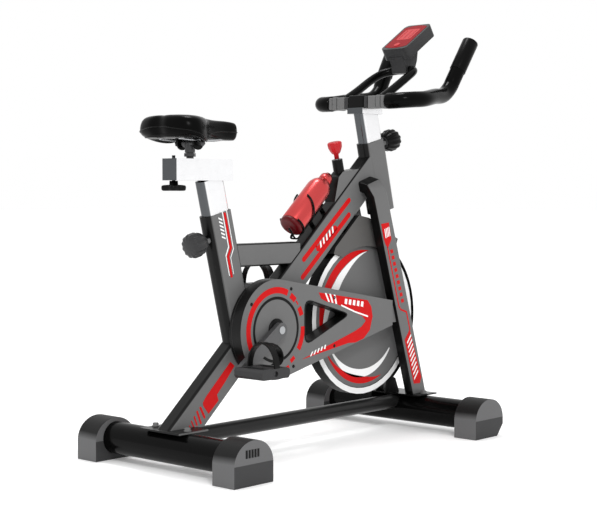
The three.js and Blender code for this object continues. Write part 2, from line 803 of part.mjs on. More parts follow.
// A polygon with round corners.
function roundPolygon(corners, radius) {
  const shape = new THREE.Shape();
  corners.forEach(([x, z], i) => {
    const corner = new THREE.Vector2(x, z);
    const before = new THREE.Vector2(...corners.at(i - 1));
    const after = new THREE.Vector2(...corners[(i + 1) % corners.length]);
    const start = corner.clone().add(before.sub(corner).setLength(radius));
    const end = corner.clone().add(after.sub(corner).setLength(radius));
    if (i === 0) shape.moveTo(start.x, start.y);
    else shape.lineTo(start.x, start.y);
    shape.quadraticCurveTo(x, z, end.x, end.y);
  });
  return shape;
}
const WINDOW = [
  [452, 262],
  [452, 372],
  [618, 326],
];
const WINDOW_RING = [
  [446, 252],
  [446, 380],
  [633, 327],
];
const windowHole = slab(roundPolygon(WINDOW, 26), -90, 0, 4);
const windowWall = (y0, y1) => slab(roundPolygon(WINDOW_RING, 28), y0, y1, 4);

const outerShell = cut(
  slab(guardOutline(0), GUARD_OUTER_Y, GUARD_SPLIT_Y - GAP / 2, 20),
  cut(
    slab(guardOutline(GUARD_WALL, 20), GUARD_OUTER_Y + GUARD_WALL, 0, 20),
    windowWall(GUARD_OUTER_Y, 10),
  ),
  windowHole,
  yRod(CRANK.x, CRANK.z, -90, 0, SPINDLE_RADIUS + 3),
);
const innerShell = cut(
  slab(guardOutline(0), GUARD_SPLIT_Y + GAP / 2, GUARD_INNER_Y, 20),
  cut(
    slab(guardOutline(GUARD_WALL, 20), -60, GUARD_INNER_Y - GUARD_WALL, 20),
    windowWall(-70, 10),
  ),
  windowHole,
  bracketShell(SHELL_RADIUS + GAP, 60),
  yRod(AXLE.x, AXLE.z, -60, 0, 22),
);
add("guard_outer_cover", outerShell, GREY_PLASTIC);
add("guard_inner_cover", innerShell, BLACK_PLASTIC);

// ---------------------------------------------------------------- brake

const PAD_END = 253; // along the brake rod, where the pad stops short of the flywheel
const HOUSING_HALF = 24.5;

function brakeHousing() {
  const outline = polygon(
    [600, 480],
    [607, 496],
    [700, 577],
    [742, 570],
    [862, 512],
    [846, 470],
    [728, 440],
  );
  const arcUnder = yRod(AXLE.x, AXLE.z, -60, 60, 186, 48);
  const wheelRoom = yRod(AXLE.x, AXLE.z, -21, 21, FLYWHEEL_RADIUS + 8, 48);
  const lean = -BRAKE_LEAN;
  const padRoom = new THREE.BoxGeometry(74, 36, 52)
    .rotateY(lean)
    .translate(brakeAt(PAD_END - 8).x, 0, brakeAt(PAD_END - 8).z);
  return cut(
    slab(outline, -HOUSING_HALF, HOUSING_HALF),
    arcUnder,
    wheelRoom,
    padRoom,
    brakeRod(0, 260, 8),
    mainTubeOuter(1),
  );
}
add("brake_housing", brakeHousing(), GREY_PLASTIC);

const bracketOutline = polygon([606, 560], [612, 612], [628, 676], [644, 690], [706, 698], [720, 640]);
add(
  "brake_bracket",
  cut(
    slab(bracketOutline, -17, 17),
    mainTubeOuter(GAP),
    headSleeve(GAP),
    brakeRod(0, 200, 14.4),
    boxAt(560, 760, -60, 60, 400, 600),
  ),
  FRAME_PAINT,
);
add(
  "brake_sleeve",
  cut(cut(brakeRod(42, 132, 14), mainTubeOuter(GAP)), brakeRod(0, 200, 6.4)),
  BLACK_PLASTIC,
);
add("brake_rod", brakeRod(20, PAD_END - 14, 5), STEEL);
add(
  "brake_knob",
  cut(join(brakeRod(-4, 16, 19, 18), brakeRod(16, 28, 18, 12)), brakeRod(19, 60, 5.4)),
  RED_PLASTIC,
);
function brakePad() {
  const holder = brakeRod(PAD_END - 14 + GAP, PAD_END - 8, 14);
  const block = new THREE.BoxGeometry(58, 26, 30)
    .rotateY(-BRAKE_LEAN)
    .translate(brakeAt(PAD_END + 6).x, 0, brakeAt(PAD_END + 6).z);
  return cut(
    join(holder, block),
    yRod(AXLE.x, AXLE.z, -60, 60, FLYWHEEL_RADIUS + BRAKE_TRAVEL, 48),
  );
}
add("brake_pad", brakePad(), FOAM);

// ---------------------------------------------------------------- flywheel fender

function fender() {
  const inner = FLYWHEEL_RADIUS + 4;
  const outer = inner + 2.5;
  const start = THREE.MathUtils.degToRad(-54);
  const end = THREE.MathUtils.degToRad(52);
  const band = new THREE.Shape();
  band.absarc(AXLE.x, AXLE.z, outer, start, end, false);
  band.absarc(AXLE.x, AXLE.z, inner, end, start, true);
  const foot = polygon([838, PLATE_TOP_Z + GAP], [898, PLATE_TOP_Z + GAP], [882, 132], [852, 144]);
  return cut(
    join(slab(band, -20, 20, 28), slab(foot, -2, 2)),
    yRod(AXLE.x, AXLE.z, -60, 60, inner, 56),
  );
}
add("front_fender", fender(), BLACK_PLASTIC);

// ---------------------------------------------------------------- seat

const railMiddle = (SEAT_RAIL.z0 + SEAT_RAIL.z1) / 2;
const railHalf = SEAT_RAIL.width / 2;
const SLIDER = { x0: 84, x1: 164 };
const SEAT_TRAVEL = 65;
const CLAMP_SCREW_X = 71;
const CLAMP_AXIS_Z = 750;

// The hollow of a post, open at its lower end and closed under whatever is welded to its top.
const POST_CAP = 22;
const postBore = (tubeTop, postTop, length) =>
  mastBar(
    grown(POST, -WALL),
    along(tubeTop, MAST_LEAN, postTop - length - 1),
    length + 1 - POST_CAP,
    MAST_LEAN,
  );

const seatPostTop = (SEAT_RAIL.z0 + 4 - SEAT_TUBE_TOP.z) / Math.cos(MAST_LEAN);
add(
  "seat_post",
  cut(
    join(
      mastBar(
        POST,
        along(SEAT_TUBE_TOP, MAST_LEAN, seatPostTop - SEAT_POST_LENGTH),
        SEAT_POST_LENGTH,
        MAST_LEAN,
      ),
      boxAt(SEAT_RAIL.x0, SEAT_RAIL.x1, -railHalf, railHalf, SEAT_RAIL.z0, SEAT_RAIL.z1),
    ),
    boxAt(
      SEAT_RAIL.x0 + SEAT_RAIL.wall,
      SEAT_RAIL.x1 + 5,
      -railHalf + SEAT_RAIL.wall,
      railHalf - SEAT_RAIL.wall,
      SEAT_RAIL.z0 + SEAT_RAIL.wall,
      SEAT_RAIL.z1 - SEAT_RAIL.wall,
    ),
    boxAt(STUB_X - 10, STUB_X + SEAT_TRAVEL + 10, -10, 10, SEAT_RAIL.z1 - 8, SEAT_RAIL.z1 + 5),
    rod([CLAMP_SCREW_X, 0, 600], [CLAMP_SCREW_X, 0, 760], 4.6, 4.6, 16),
    postBore(SEAT_TUBE_TOP, seatPostTop, SEAT_POST_LENGTH),
  ),
  CHROME,
);
add(
  "saddle_slider",
  join(
    boxAt(
      SLIDER.x0,
      SLIDER.x1,
      -railHalf + SEAT_RAIL.wall + 0.5,
      railHalf - SEAT_RAIL.wall - 0.5,
      SEAT_RAIL.z0 + SEAT_RAIL.wall + 0.5,
      SEAT_RAIL.z1 - SEAT_RAIL.wall - 0.5,
    ),
    rod([STUB_X, 0, railMiddle], [STUB_X, 0, CLAMP_AXIS_Z - 11], 8.5, 8.5, 16),
    rod([STUB_X, 0, SEAT_RAIL.z1 + 5], [STUB_X, 0, SEAT_RAIL.z1 + 13], 14, 14, 6),
  ),
  STEEL,
);
add(
  "saddle_clamp",
  cut(
    join(
      rod([STUB_X, 0, SEAT_RAIL.z1 + 14], [STUB_X, 0, CLAMP_AXIS_Z], 12, 12, 16),
      yRod(STUB_X, CLAMP_AXIS_Z, -19, 19, 10, 16),
      yRod(STUB_X, CLAMP_AXIS_Z, -40, 40, 6, 16),
    ),
    rod([STUB_X, 0, 690], [STUB_X, 0, CLAMP_AXIS_Z - 10.5], 8.9, 8.9, 16),
  ),
  STEEL,
);

// The saddle's outline from above, half of it mirrored to make the whole.
function saddleOutline(inset) {
  const half = [
    [SADDLE.rear + 4, 0],
    [SADDLE.rear, 34],
    [SADDLE.rear + 14, 76],
    [SADDLE.rear + 46, SADDLE.halfWidth],
    [SADDLE.rear + 84, 74],
    [SADDLE.rear + 122, 44],
    [SADDLE.rear + 176, 29],
    [SADDLE.nose - 20, 24],
    [SADDLE.nose - 4, 13],
    [SADDLE.nose, 0],
  ].map(([x, y]) => {
    const middle = SADDLE.rear + 90;
    const reach = (SADDLE.nose - SADDLE.rear) / 2;
    return new THREE.Vector2(middle + (x - middle) * (1 - inset / reach), y * (1 - inset / 60));
  });
  const shape = new THREE.Shape();
  shape.moveTo(half[0].x, half[0].y);
  shape.splineThru(half.slice(1));
  shape.splineThru(half.slice(0, -1).reverse().map((p) => new THREE.Vector2(p.x, -p.y)));
  return shape;
}
const saddleLayer = (inset, z0, z1) =>
  new THREE.ExtrudeGeometry(saddleOutline(inset), {
    depth: z1 - z0,
    bevelEnabled: false,
    curveSegments: 2,
  }).translate(0, 0, z0);
const ear = (y) =>
  join(
    boxAt(STUB_X - 16, STUB_X + 16, y - 2.5, y + 2.5, CLAMP_AXIS_Z, SADDLE.bottom - 5),
    yRod(STUB_X, CLAMP_AXIS_Z, y - 2.5, y + 2.5, 16, 16),
  );
add(
  "saddle_shell",
  cut(
    join(saddleLayer(8, SADDLE.bottom - 7, SADDLE.bottom - GAP), ear(-27), ear(27)),
    yRod(STUB_X, CLAMP_AXIS_Z, -60, 60, 6.4, 16),
  ),
  BLACK_PLASTIC,
);
add("saddle_pad", saddleLayer(0, SADDLE.bottom, SADDLE.top), PADDING);

// A star knob under the rear of the seat rail, on a screw that passes up through the rail.
function starKnob() {
  const lobes = 6;
  const disc = rod([CLAMP_SCREW_X, 0, 640], [CLAMP_SCREW_X, 0, 653], 21, 21, 24);
  const tips = Array.from({ length: lobes }, (_, i) => {
    const angle = (i * 2 * Math.PI) / lobes;
    const x = CLAMP_SCREW_X + Math.cos(angle) * 20;
    const y = Math.sin(angle) * 20;
    return rod([x, y, 640], [x, y, 653], 8, 8, 12);
  });
  return join(
    disc,
    ...tips,
    rod([CLAMP_SCREW_X, 0, 652], [CLAMP_SCREW_X, 0, SEAT_RAIL.z0 - 0.5], 10, 10, 16),
    rod([CLAMP_SCREW_X, 0, 652], [CLAMP_SCREW_X, 0, SEAT_RAIL.z1 + 7], 4, 4, 12),
  );
}
add("star_knob", starKnob(), BLACK_PLASTIC);

// ---------------------------------------------------------------- height locks

// A pull pin that ends just clear of the post, and the ribbed knob on it.
const PIN_TRAVEL = 12;
const KNOB_RADIUS = 27;
const KNOB_LENGTH = 46;
const knobStart = SLEEVE.length / 2 + BOSS_LENGTH + 1;
function ribbedKnob(point, side) {
  const body = pinAxisRod(point, side, knobStart, knobStart + KNOB_LENGTH, KNOB_RADIUS, KNOB_RADIUS, 12);
  const bore = pinAxisRod(point, side, 0, knobStart + KNOB_LENGTH - 12, 4.6, 4.6, 16);
  return cut(body, bore);
}
const lockPin = (point, side) =>
  pinAxisRod(point, side, POST.length / 2 + 1.5, knobStart + KNOB_LENGTH - 14, 4.2, 4.2, 16);

const seatPinPoint = along(SEAT_TUBE_TOP, MAST_LEAN, -SEAT_PIN_DROP);
const headPinPoint = along(HEAD_TOP, MAST_LEAN, -HEAD_PIN_DROP);
add("seat_lock_pin", lockPin(seatPinPoint, -1), STEEL);
add("seat_lock_knob", ribbedKnob(seatPinPoint, -1), BLACK_PLASTIC);
add("head_lock_pin", lockPin(headPinPoint, 1), STEEL);
add("head_lock_knob", ribbedKnob(headPinPoint, 1), BLACK_PLASTIC);

// ---------------------------------------------------------------- handlebar

const handlePostTop = (HANDLE_POST_TOP_Z - HEAD_TOP.z) / Math.cos(MAST_LEAN);
const CLAMP_TOP_Z = BAR_Z - BAR_RADIUS - GAP;
add(
  "handlebar_post",
  cut(
    join(
      mastBar(
        POST,
        along(HEAD_TOP, MAST_LEAN, handlePostTop - HANDLE_POST_LENGTH),
        HANDLE_POST_LENGTH,
        MAST_LEAN,
      ),
      boxAt(BAR_X - 20, BAR_X + 62, -26, 26, HANDLE_POST_TOP_Z - 12, CLAMP_TOP_Z),
    ),
    boxAt(600, 900, -60, 60, CLAMP_TOP_Z, 1000),
    postBore(HEAD_TOP, handlePostTop, HANDLE_POST_LENGTH),
  ),
  CHROME,
);

// The bar: a level cross bar whose thicker arms turn forward and in, then bend up into two horns.
const HORN_START = [HORN_BEND.x + 18, -(HORN_BEND.y + 2), HORN_BEND.z + 30];
const HORN_END = [HORN_TIP.x, -HORN_TIP.y, HORN_TIP.z];
const GRIP_SHARE = 0.78; // the share of the horn that the grip covers, from its tip
const onHorn = (share) => HORN_START.map((v, i) => HORN_END[i] + (v - HORN_END[i]) * share);
const armKnots = [
  onHorn(GRIP_SHARE),
  HORN_START,
  [HORN_BEND.x + 3, -HORN_BEND.y, HORN_BEND.z + 7],
  [HORN_BEND.x - 30, -(HORN_BEND.y + 3), HORN_BEND.z - 14],
  [HORN_BEND.x - 90, -(HORN_BEND.y + 19), HORN_BEND.z - 21],
  [BAR_X + 70, -(BAR_CORNER_Y - 1), BAR_Z + 6],
  [BAR_X + 34, -(BAR_CORNER_Y - 6), BAR_Z + 3],
  [BAR_X + 10, -(BAR_CORNER_Y - 22), BAR_Z + 1],
  [BAR_X + 1, -(BAR_CORNER_Y - 44), BAR_Z],
  [BAR_X, -(BAR_CORNER_Y - 62), BAR_Z],
];
const GRIP_END_WALL = 0.04; // the share of the horn left solid at the tip of a grip
const CORE_END = 0.08; // where the thin core of the horn stops inside the grip
const armTube = (radius, knots, segments) =>
  sweep(circle(radius), smooth(knots), 28, segments);
const CROSS_BAR_HALF = BAR_CORNER_Y - 40; // it ends inside the arms
const crossBar = (radius) =>
  rod([BAR_X, -CROSS_BAR_HALF, BAR_Z], [BAR_X, CROSS_BAR_HALF, BAR_Z], radius, radius, 20);
const hornCore = rod(onHorn(0.95), onHorn(CORE_END), BAR_RADIUS, BAR_RADIUS, 20);
const coreBore = rod(onHorn(1), onHorn(0), BAR_RADIUS - 2 * WALL, BAR_RADIUS - 2 * WALL, 12);
const arm = armTube(SLEEVE_RADIUS, armKnots, 5);
const armBore = armTube(SLEEVE_RADIUS - WALL, armKnots.slice(1, -1), 3);
add(
  "handlebar_bar",
  cut(
    join(crossBar(BAR_RADIUS), ...SIDES.flatMap(({ sign }) => [onSide(arm, sign), onSide(hornCore, sign)])),
    crossBar(BAR_RADIUS - WALL),
    ...SIDES.flatMap(({ sign }) => [onSide(armBore, sign), onSide(coreBore, sign)]),
  ),
  FRAME_PAINT,
);

// A foam sleeve over each horn, closed at the tip.
function grip() {
  const start = onHorn(GRIP_SHARE - 0.005);
  return cut(
    rod(start, HORN_END, GRIP_RADIUS, GRIP_RADIUS, 20),
    rod(onHorn(1.4), onHorn(GRIP_END_WALL), BAR_RADIUS + 0.8, BAR_RADIUS + 0.8, 20),
  );
}
for (const { label, sign } of SIDES) add(`grip_${label}`, onSide(grip(), sign), FOAM);

// The centre loop: a narrow bar that leaves the cross bar, rises forward and turns back.
const LOOP_RADIUS = 11;
const mirrored = ([x, y, z]) => [x, -y, z];
const loopPoints = [
  [BAR_X + 18, -62, BAR_Z + 10],
  [BAR_X + 60, -61, BAR_Z + 34],
  [BAR_X + 120, -60, BAR_Z + 68],
  [BAR_X + 160, -52, BAR_Z + 88],
  [BAR_X + 182, -28, BAR_Z + 95],
];
const loopPath = smooth([
  ...loopPoints,
  [BAR_X + 187, 0, BAR_Z + 96],
  ...loopPoints.slice().reverse().map(mirrored),
]);
// A clamp block on the cross bar, welded to one end of the loop.
function loopClamp() {
  return cut(
    boxAt(BAR_X - 18, BAR_X + 32, -92, -40, BAR_Z - 17, BAR_Z + 19),
    rod([BAR_X, -120, BAR_Z], [BAR_X, 0, BAR_Z], BAR_RADIUS + 0.8),
  );
}
add(
  "centre_loop",
  join(
    sweep(circle(LOOP_RADIUS), loopPath, 30, 4),
    ...SIDES.map(({ sign }) => onSide(loopClamp(), sign)),
  ),
  FRAME_PAINT,
);

// ---------------------------------------------------------------- console

const CONSOLE = { length: 138, width: 88, thickness: 34, tilt: THREE.MathUtils.degToRad(33) };
const CONSOLE_CENTRE = { x: 935, z: 1045 };
const onConsole = (geometry) =>
  geometry.rotateY(-CONSOLE.tilt).translate(CONSOLE_CENTRE.x, 0, CONSOLE_CENTRE.z);
const consoleBox = (grow) =>
  onConsole(
    new THREE.ExtrudeGeometry(
      roundedRectangle(CONSOLE.length + grow, CONSOLE.width + grow, 14),
      { depth: CONSOLE.thickness + grow, bevelEnabled: false, curveSegments: 3 },
    ).translate(0, 0, -CONSOLE.thickness / 2 - grow / 2),
  );
const BUTTON_X = -46; // on the console's face, towards the rider
const button = (radius, depth, lift) =>
  onConsole(
    new THREE.CylinderGeometry(radius, radius, depth, 20)
      .rotateX(Math.PI / 2)
      .translate(BUTTON_X, 0, CONSOLE.thickness / 2 + lift),
  );
add("console_case", cut(consoleBox(0), button(9.5, 16, 0)), BLACK_PLASTIC);
add("console_button", button(8.8, 6, -1), RED_PLASTIC);
add(
  "console_bracket",
  cut(
    slab(
      polygon([896, 958], [930, 958], [944, 995], [950, 1040], [880, 1000], [892, 982]),
      -24,
      24,
    ),
    consoleBox(0.8),
    sweep(circle(LOOP_RADIUS + 0.8), loopPath, 30, 4),
    onConsole(boxAt(-200, 200, -60, 60, 0, 200)),
  ),
  BLACK_PLASTIC,
);

// ---------------------------------------------------------------- bottle and cage

// Local frame: x runs up the main tube, z stands off its upper face, origin on the tube's axis.
const BOTTLE_START = 571;
const onMainTube = (geometry) =>
  geometry
    .rotateY(-MAIN_TUBE_SLOPE)
    .translate(MAIN_TUBE_START.x, 0, MAIN_TUBE_START.z);
const BOTTLE = { radius: 31, body: 150, shoulder: 22, neck: 13, cap: 26, standoff: 94 };
function bottleGeometry() {
  const { radius, body, shoulder, neck, cap } = BOTTLE;
  const profile = [
    [0, 0],
    [radius - 4, 0],
    [radius, 4],
    [radius, body],
    [neck + 4, body + shoulder],
    [neck + 4, body + shoulder + cap * 0.6],
    [neck - 5, body + shoulder + cap],
    [0, body + shoulder + cap],
  ].map(([r, y]) => new THREE.Vector2(r, y));
  return new THREE.LatheGeometry(profile, 28)
    .rotateZ(-Math.PI / 2)
    .translate(BOTTLE_START, 0, BOTTLE.standoff);
}
add("bottle", onMainTube(bottleGeometry()), RED_BOTTLE);

function bottleCage() {
  const inner = BOTTLE.radius + 1.5;
  const outer = inner + 3.5;
  const z = BOTTLE.standoff;
  const tubeFace = MAIN_TUBE.length / 2 + GAP;
  const ring = (x0, x1) =>
    cut(
      rod([x0, 0, z], [x1, 0, z], outer, outer, 28),
      rod([x0 - 1, 0, z], [x1 + 1, 0, z], inner, inner, 28),
      boxAt(x0 - 2, x1 + 2, -60, 60, z + 1, z + 80),
    );
  const reach = BOTTLE_START + 124;
  const back = z - inner - 3.5;
  const spine = boxAt(BOTTLE_START + 30, reach, -9, 9, tubeFace, tubeFace + 7);
  const backStrip = boxAt(BOTTLE_START - 7, reach, -7, 7, back, back + 4);
  const posts = [62, 112].map((x) =>
    boxAt(BOTTLE_START + x, BOTTLE_START + x + 12, -7, 7, tubeFace, back + 1),
  );
  const shelf = cut(
    rod([BOTTLE_START - 7, 0, z], [BOTTLE_START - 1, 0, z], outer, outer, 28),
    boxAt(BOTTLE_START - 20, BOTTLE_START + 20, -60, 60, z + 14, z + 80),
  );
  return join(
    spine,
    backStrip,
    shelf,
    ...posts,
    ring(BOTTLE_START + 62, BOTTLE_START + 74),
    ring(BOTTLE_START + 112, BOTTLE_START + 124),
  );
}
add("bottle_cage", onMainTube(bottleCage()), BLACK_PLASTIC);

bike.position.x = -OVERALL_LENGTH / 2;

export default bike;
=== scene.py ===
"""Indoor spin bike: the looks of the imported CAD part, as procedural materials and replaced surfaces.

Lengths are written in millimetres on the bench: X from the rear faces of the rear feet, Y from the
bike's middle plane (the rider's right is -Y) and Z up from the floor. place() turns them into metres
in the part's own frame.
"""

import math
import bmesh
import bpy
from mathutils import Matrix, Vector


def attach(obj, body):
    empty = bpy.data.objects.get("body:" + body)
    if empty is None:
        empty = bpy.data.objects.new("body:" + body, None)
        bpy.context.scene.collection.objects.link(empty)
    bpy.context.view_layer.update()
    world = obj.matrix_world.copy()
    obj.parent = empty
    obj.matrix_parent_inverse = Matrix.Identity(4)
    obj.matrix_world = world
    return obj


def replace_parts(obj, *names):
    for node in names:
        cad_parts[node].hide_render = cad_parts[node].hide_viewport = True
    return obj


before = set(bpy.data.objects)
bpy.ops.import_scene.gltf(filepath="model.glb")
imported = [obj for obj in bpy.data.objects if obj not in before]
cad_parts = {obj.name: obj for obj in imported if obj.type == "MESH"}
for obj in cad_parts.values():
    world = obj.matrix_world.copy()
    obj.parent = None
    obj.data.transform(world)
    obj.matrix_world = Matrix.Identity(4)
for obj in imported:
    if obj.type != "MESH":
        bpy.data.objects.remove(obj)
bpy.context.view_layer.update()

# ---------------------------------------------------------------- driving dimensions

MM = 0.001
HALF_LENGTH = 530.3
SIDES = (("right", -1), ("left", 1))

CRANK = (347, 306)  # X and Z of the crank's middle
AXLE = (728, 310)  # X and Z of the flywheel's middle
GUARD_FACE = 61  # distance from the middle plane, as for every other FACE
WHEEL_FACE = 16.6
DISC_BACK = 10.3
MAIN_TUBE = {"start": (98, 99), "slope": math.radians(41.8), "face": 21}
MAST_LEAN = math.radians(14)
SEAT_TUBE_TOP = (202, 588)
SEAT_TUBE_FACE = 22
SEAT_PIN = (215.5, 533.7)
HEAD_PIN = (776.9, 756.5)
PIN_REACH = 54  # from a tube's middle line to where its knob starts
STAR_KNOB = (71, 0, 640)
FORK_FOOT = (907, 94.3)
FORK_LEAN = math.radians(17.4)
FORK_FACE = 66
REAR_BASE_X = 61
REAR_FOOT_FACE = 265
PLATE_TOP = 94.3
BAR = {"x": 731, "z": 872, "corner": 160, "radius": 14}
HORN_BEND = (956, 122, 909)
HORN_TIP = (1042, 132, 1046)
HORN_START = (HORN_BEND[0] + 18, HORN_BEND[1] + 2, HORN_BEND[2] + 30)
GRIP_SHARE = 0.78  # how much of a horn its grip covers
SLEEVE_RADIUS = 20.5
GRIP_RADIUS = 22
LOOP_RADIUS = 11
BRAKE_TOP = (630, 762)
BRAKE_LEAN = math.radians(14)
BOTTLE_BASE = (461.0, 549.7)
CONSOLE = {"x": 935, "z": 1045, "tilt": math.radians(33), "thickness": 34}
SADDLE_BOTTOM = 768
SADDLE_THICKNESS = 44
STICKER = 0.4  # how thick a sticker is
STICKER_GAP = 0.02  # between a sticker and what it lies on
WHITE_LIFT = 0.45  # how far a white sticker lies above a red one
ARC_STEP = 4  # degrees between an arc's points
SHARP_ANGLE = math.radians(31)  # edges turning by more than this are rounded
WELD_GAP = 0.00002  # metres: the CAD facets' corners are joined within it

# ---------------------------------------------------------------- points and meshes


def place(x, y, z):
    """A bench point in millimetres as a point of the part's frame in metres."""
    return Vector(((x - HALF_LENGTH) * MM, y * MM, z * MM))


def piece(name, points, faces, material, body, smooth=True):
    """A mesh from bench points, riding on a CAD body."""
    mesh = bpy.data.meshes.new(name)
    mesh.from_pydata([place(*p) for p in points], [], faces)
    mesh.validate()
    work = bmesh.new()
    work.from_mesh(mesh)
    bmesh.ops.recalc_face_normals(work, faces=work.faces)
    work.to_mesh(mesh)
    work.free()
    if smooth:
        mesh.shade_smooth()
    made = bpy.data.objects.new(name, mesh)
    bpy.context.scene.collection.objects.link(made)
    made.data.materials.append(material)
    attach(made, body)
    return made


def bevelled(made, width, segments=2):
    """Rounds the sharp edges of a mesh without changing its stored vertices."""
    made.modifiers.new("weld", "WELD").merge_threshold = WELD_GAP
    bevel = made.modifiers.new("bevel", "BEVEL")
    bevel.width = width * MM
    bevel.segments = segments
    bevel.limit_method = "ANGLE"
    bevel.angle_limit = SHARP_ANGLE
    bevel.use_clamp_overlap = True
    bevel.harden_normals = False
    made.modifiers.new("normals", "WEIGHTED_NORMAL").keep_sharp = False


def dress(node, material, bevel, segments=2):
    """A CAD node keeps its shape and gets a material, smooth facets and small round edges."""
    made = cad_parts[node]
    made.data.materials.clear()
    made.data.materials.append(material)
    spare = made.data.attributes.get("custom_normal")
    if spare:
        made.data.attributes.remove(spare)
    made.data.shade_smooth()
    bevelled(made, bevel, segments)


def catmull(points, steps):
    """Points along a smooth curve through the given ones."""
    knots = [Vector(p) for p in points]
    knots = [2 * knots[0] - knots[1], *knots, 2 * knots[-1] - knots[-2]]
    found = []
    for i in range(1, len(knots) - 2):
        p0, p1, p2, p3 = knots[i - 1 : i + 3]
        for k in range(steps):
            t = k / steps
            found.append(
                p1
                + (p2 - p0) * 0.5 * t
                + (2 * p0 - 5 * p1 + 4 * p2 - p3) * 0.5 * t * t
                + (3 * p1 - p0 - 3 * p2 + p3) * 0.5 * t**3
            )
    found.append(knots[-2])
    return found


def cross_frames(path):
    """For each point of a path, two unit vectors across it that turn as little as possible."""
    side = None
    frames = []
    for i in range(len(path)):
        ahead = (path[min(i + 1, len(path) - 1)] - path[max(i - 1, 0)]).normalized()
        if side is None:
            side = ahead.orthogonal().normalized()
        side = (side - ahead * side.dot(ahead)).normalized()
        frames.append((side, ahead.cross(side)))
    return frames


def ring_faces(rings, sides):
    """The four-sided faces between each ring of points and the next."""
    faces = []
    for i in range(rings - 1):
        for k in range(sides):
            a = i * sides + k
            b = i * sides + (k + 1) % sides
            faces.append((a, b, b + sides, a + sides))
    return faces


def end_faces(rings, sides):
    """The two flat ends of a row of rings."""
    last = (rings - 1) * sides
    return [tuple(range(sides)), tuple(range(last, last + sides))]


def tube(name, knots, radius, material, body, steps=8, sides=28):
    """A smooth bar of one radius through bench points, closed at both ends."""
    path = catmull(knots, steps)
    points = []
    for (across, up), point in zip(cross_frames(path), path):
        for k in range(sides):
            angle = 2 * math.pi * k / sides
            points.append(point + across * (radius * math.cos(angle)) + up * (radius * math.sin(angle)))
    faces = ring_faces(len(path), sides) + end_faces(len(path), sides)
    return piece(name, points, faces, material, body)


def turned(name, start, axis, profile, material, body, sides=48, lobes=0, lobe_depth=0.0):
    """A body turned about an axis, from (distance along the axis, radius) pairs.

    Lobes make its outline wavy by lobe_depth of its radius.
    """
    direction = Vector(axis).normalized()
    across = direction.orthogonal().normalized()
    up = direction.cross(across)
    points = []
    for distance, radius in profile:
        for k in range(sides):
            angle = 2 * math.pi * k / sides
            reach = radius * (1 + lobe_depth * math.cos(lobes * angle))
            points.append(
                Vector(start)
                + direction * distance
                + across * (reach * math.cos(angle))
                + up * (reach * math.sin(angle))
            )
    faces = ring_faces(len(profile), sides) + end_faces(len(profile), sides)
    return piece(name, points, faces, material, body)


def block(name, low, high, material, body, bevel):
    """A box between two bench corners with round edges."""
    (x0, y0, z0), (x1, y1, z1) = low, high
    points = [(x, y, z) for x in (x0, x1) for y in (y0, y1) for z in (z0, z1)]
    faces = [(0, 1, 3, 2), (4, 6, 7, 5), (0, 4, 5, 1), (2, 3, 7, 6), (0, 2, 6, 4), (1, 5, 7, 3)]
    bevelled(piece(name, points, faces, material, body), bevel)


def slab(name, outlines, y0, y1, material, body):
    """Thin plates cut along XZ outlines, between two values of Y."""
    points = []
    faces = []
    for outline in outlines:
        first = len(points)
        count = len(outline)
        points += [(x, y0, z) for x, z in outline] + [(x, y1, z) for x, z in outline]
        faces.append(tuple(range(first, first + count)))
        faces.append(tuple(range(first + 2 * count - 1, first + count - 1, -1)))
        for k in range(count):
            after = (k + 1) % count
            faces.append((first + k, first + after, first + count + after, first + count + k))
    piece(name, points, faces, material, body, smooth=False)


# ---------------------------------------------------------------- flat outlines


def arc(centre, radius, start, end, steps=None):
    """Points of an arc in XZ, angles in degrees from +X towards +Z."""
    steps = steps or max(2, int(abs(end - start) / ARC_STEP))
    angles = [math.radians(start + (end - start) * k / steps) for k in range(steps + 1)]
    return [(centre[0] + radius * math.cos(a), centre[1] + radius * math.sin(a)) for a in angles]


def band(centre, inner, outer, start, end):
    """A ring segment between two radii and two angles."""
    return arc(centre, inner, start, end) + arc(centre, outer, end, start)


def polar(centre, radius, angle):
    """A point at a radius and an angle in degrees."""
    turn = math.radians(angle)
    return (centre[0] + radius * math.cos(turn), centre[1] + radius * math.sin(turn))


def swoosh(centre, outer, inner):
    """A crescent between two curves, each given as (radius, degrees) knots."""

    def edge(knots):
        points = catmull([(r, a, 0) for r, a in knots], 18)
        return [polar(centre, p.x, p.y) for p in points]

    return edge(outer) + edge(inner)[::-1]


def on_main_tube(u, v):
    """A point on the main tube's side: u up along it, v across it."""
    slope = MAIN_TUBE["slope"]
    x0, z0 = MAIN_TUBE["start"]
    return (
        x0 + u * math.cos(slope) - v * math.sin(slope),
        z0 + u * math.sin(slope) + v * math.cos(slope),
    )


def on_mast(outline, base, lean):
    """An outline on a leaning tube's side, each point t forward and s up along it, as XZ points."""
    return [
        (
            base[0] + t * math.cos(lean) - s * math.sin(lean),
            base[1] + t * math.sin(lean) + s * math.cos(lean),
        )
        for t, s in outline
    ]


def row(corners, count, step, far_step=None):
    """Copies of a four-cornered stroke, one step apart. Its last two corners can have their own step."""
    steps = [step, step, far_step or step, far_step or step]
    return [[(x + k * dx, z + k * dz) for (x, z), (dx, dz) in zip(corners, steps)] for k in range(count)]


def stripe(first, second, half):
    """A straight stripe with round ends between two points of a flat side."""
    (x0, y0), (x1, y1) = first, second
    turn = math.degrees(math.atan2(y1 - y0, x1 - x0))
    return arc(second, half, turn - 90, turn + 90, 8) + arc(first, half, turn + 90, turn + 270, 8)


def stickers(name, outlines, face, material, body, both=True, lift=0.0):
    """Stickers on the right face of a piece, and the same on its left face where both is set."""
    low = face + lift + STICKER_GAP
    high = low + STICKER
    slab(name, outlines, -high, -low, material, body)
    if both:
        slab(name + "_left", outlines, low, high, material, body)


# ---------------------------------------------------------------- materials


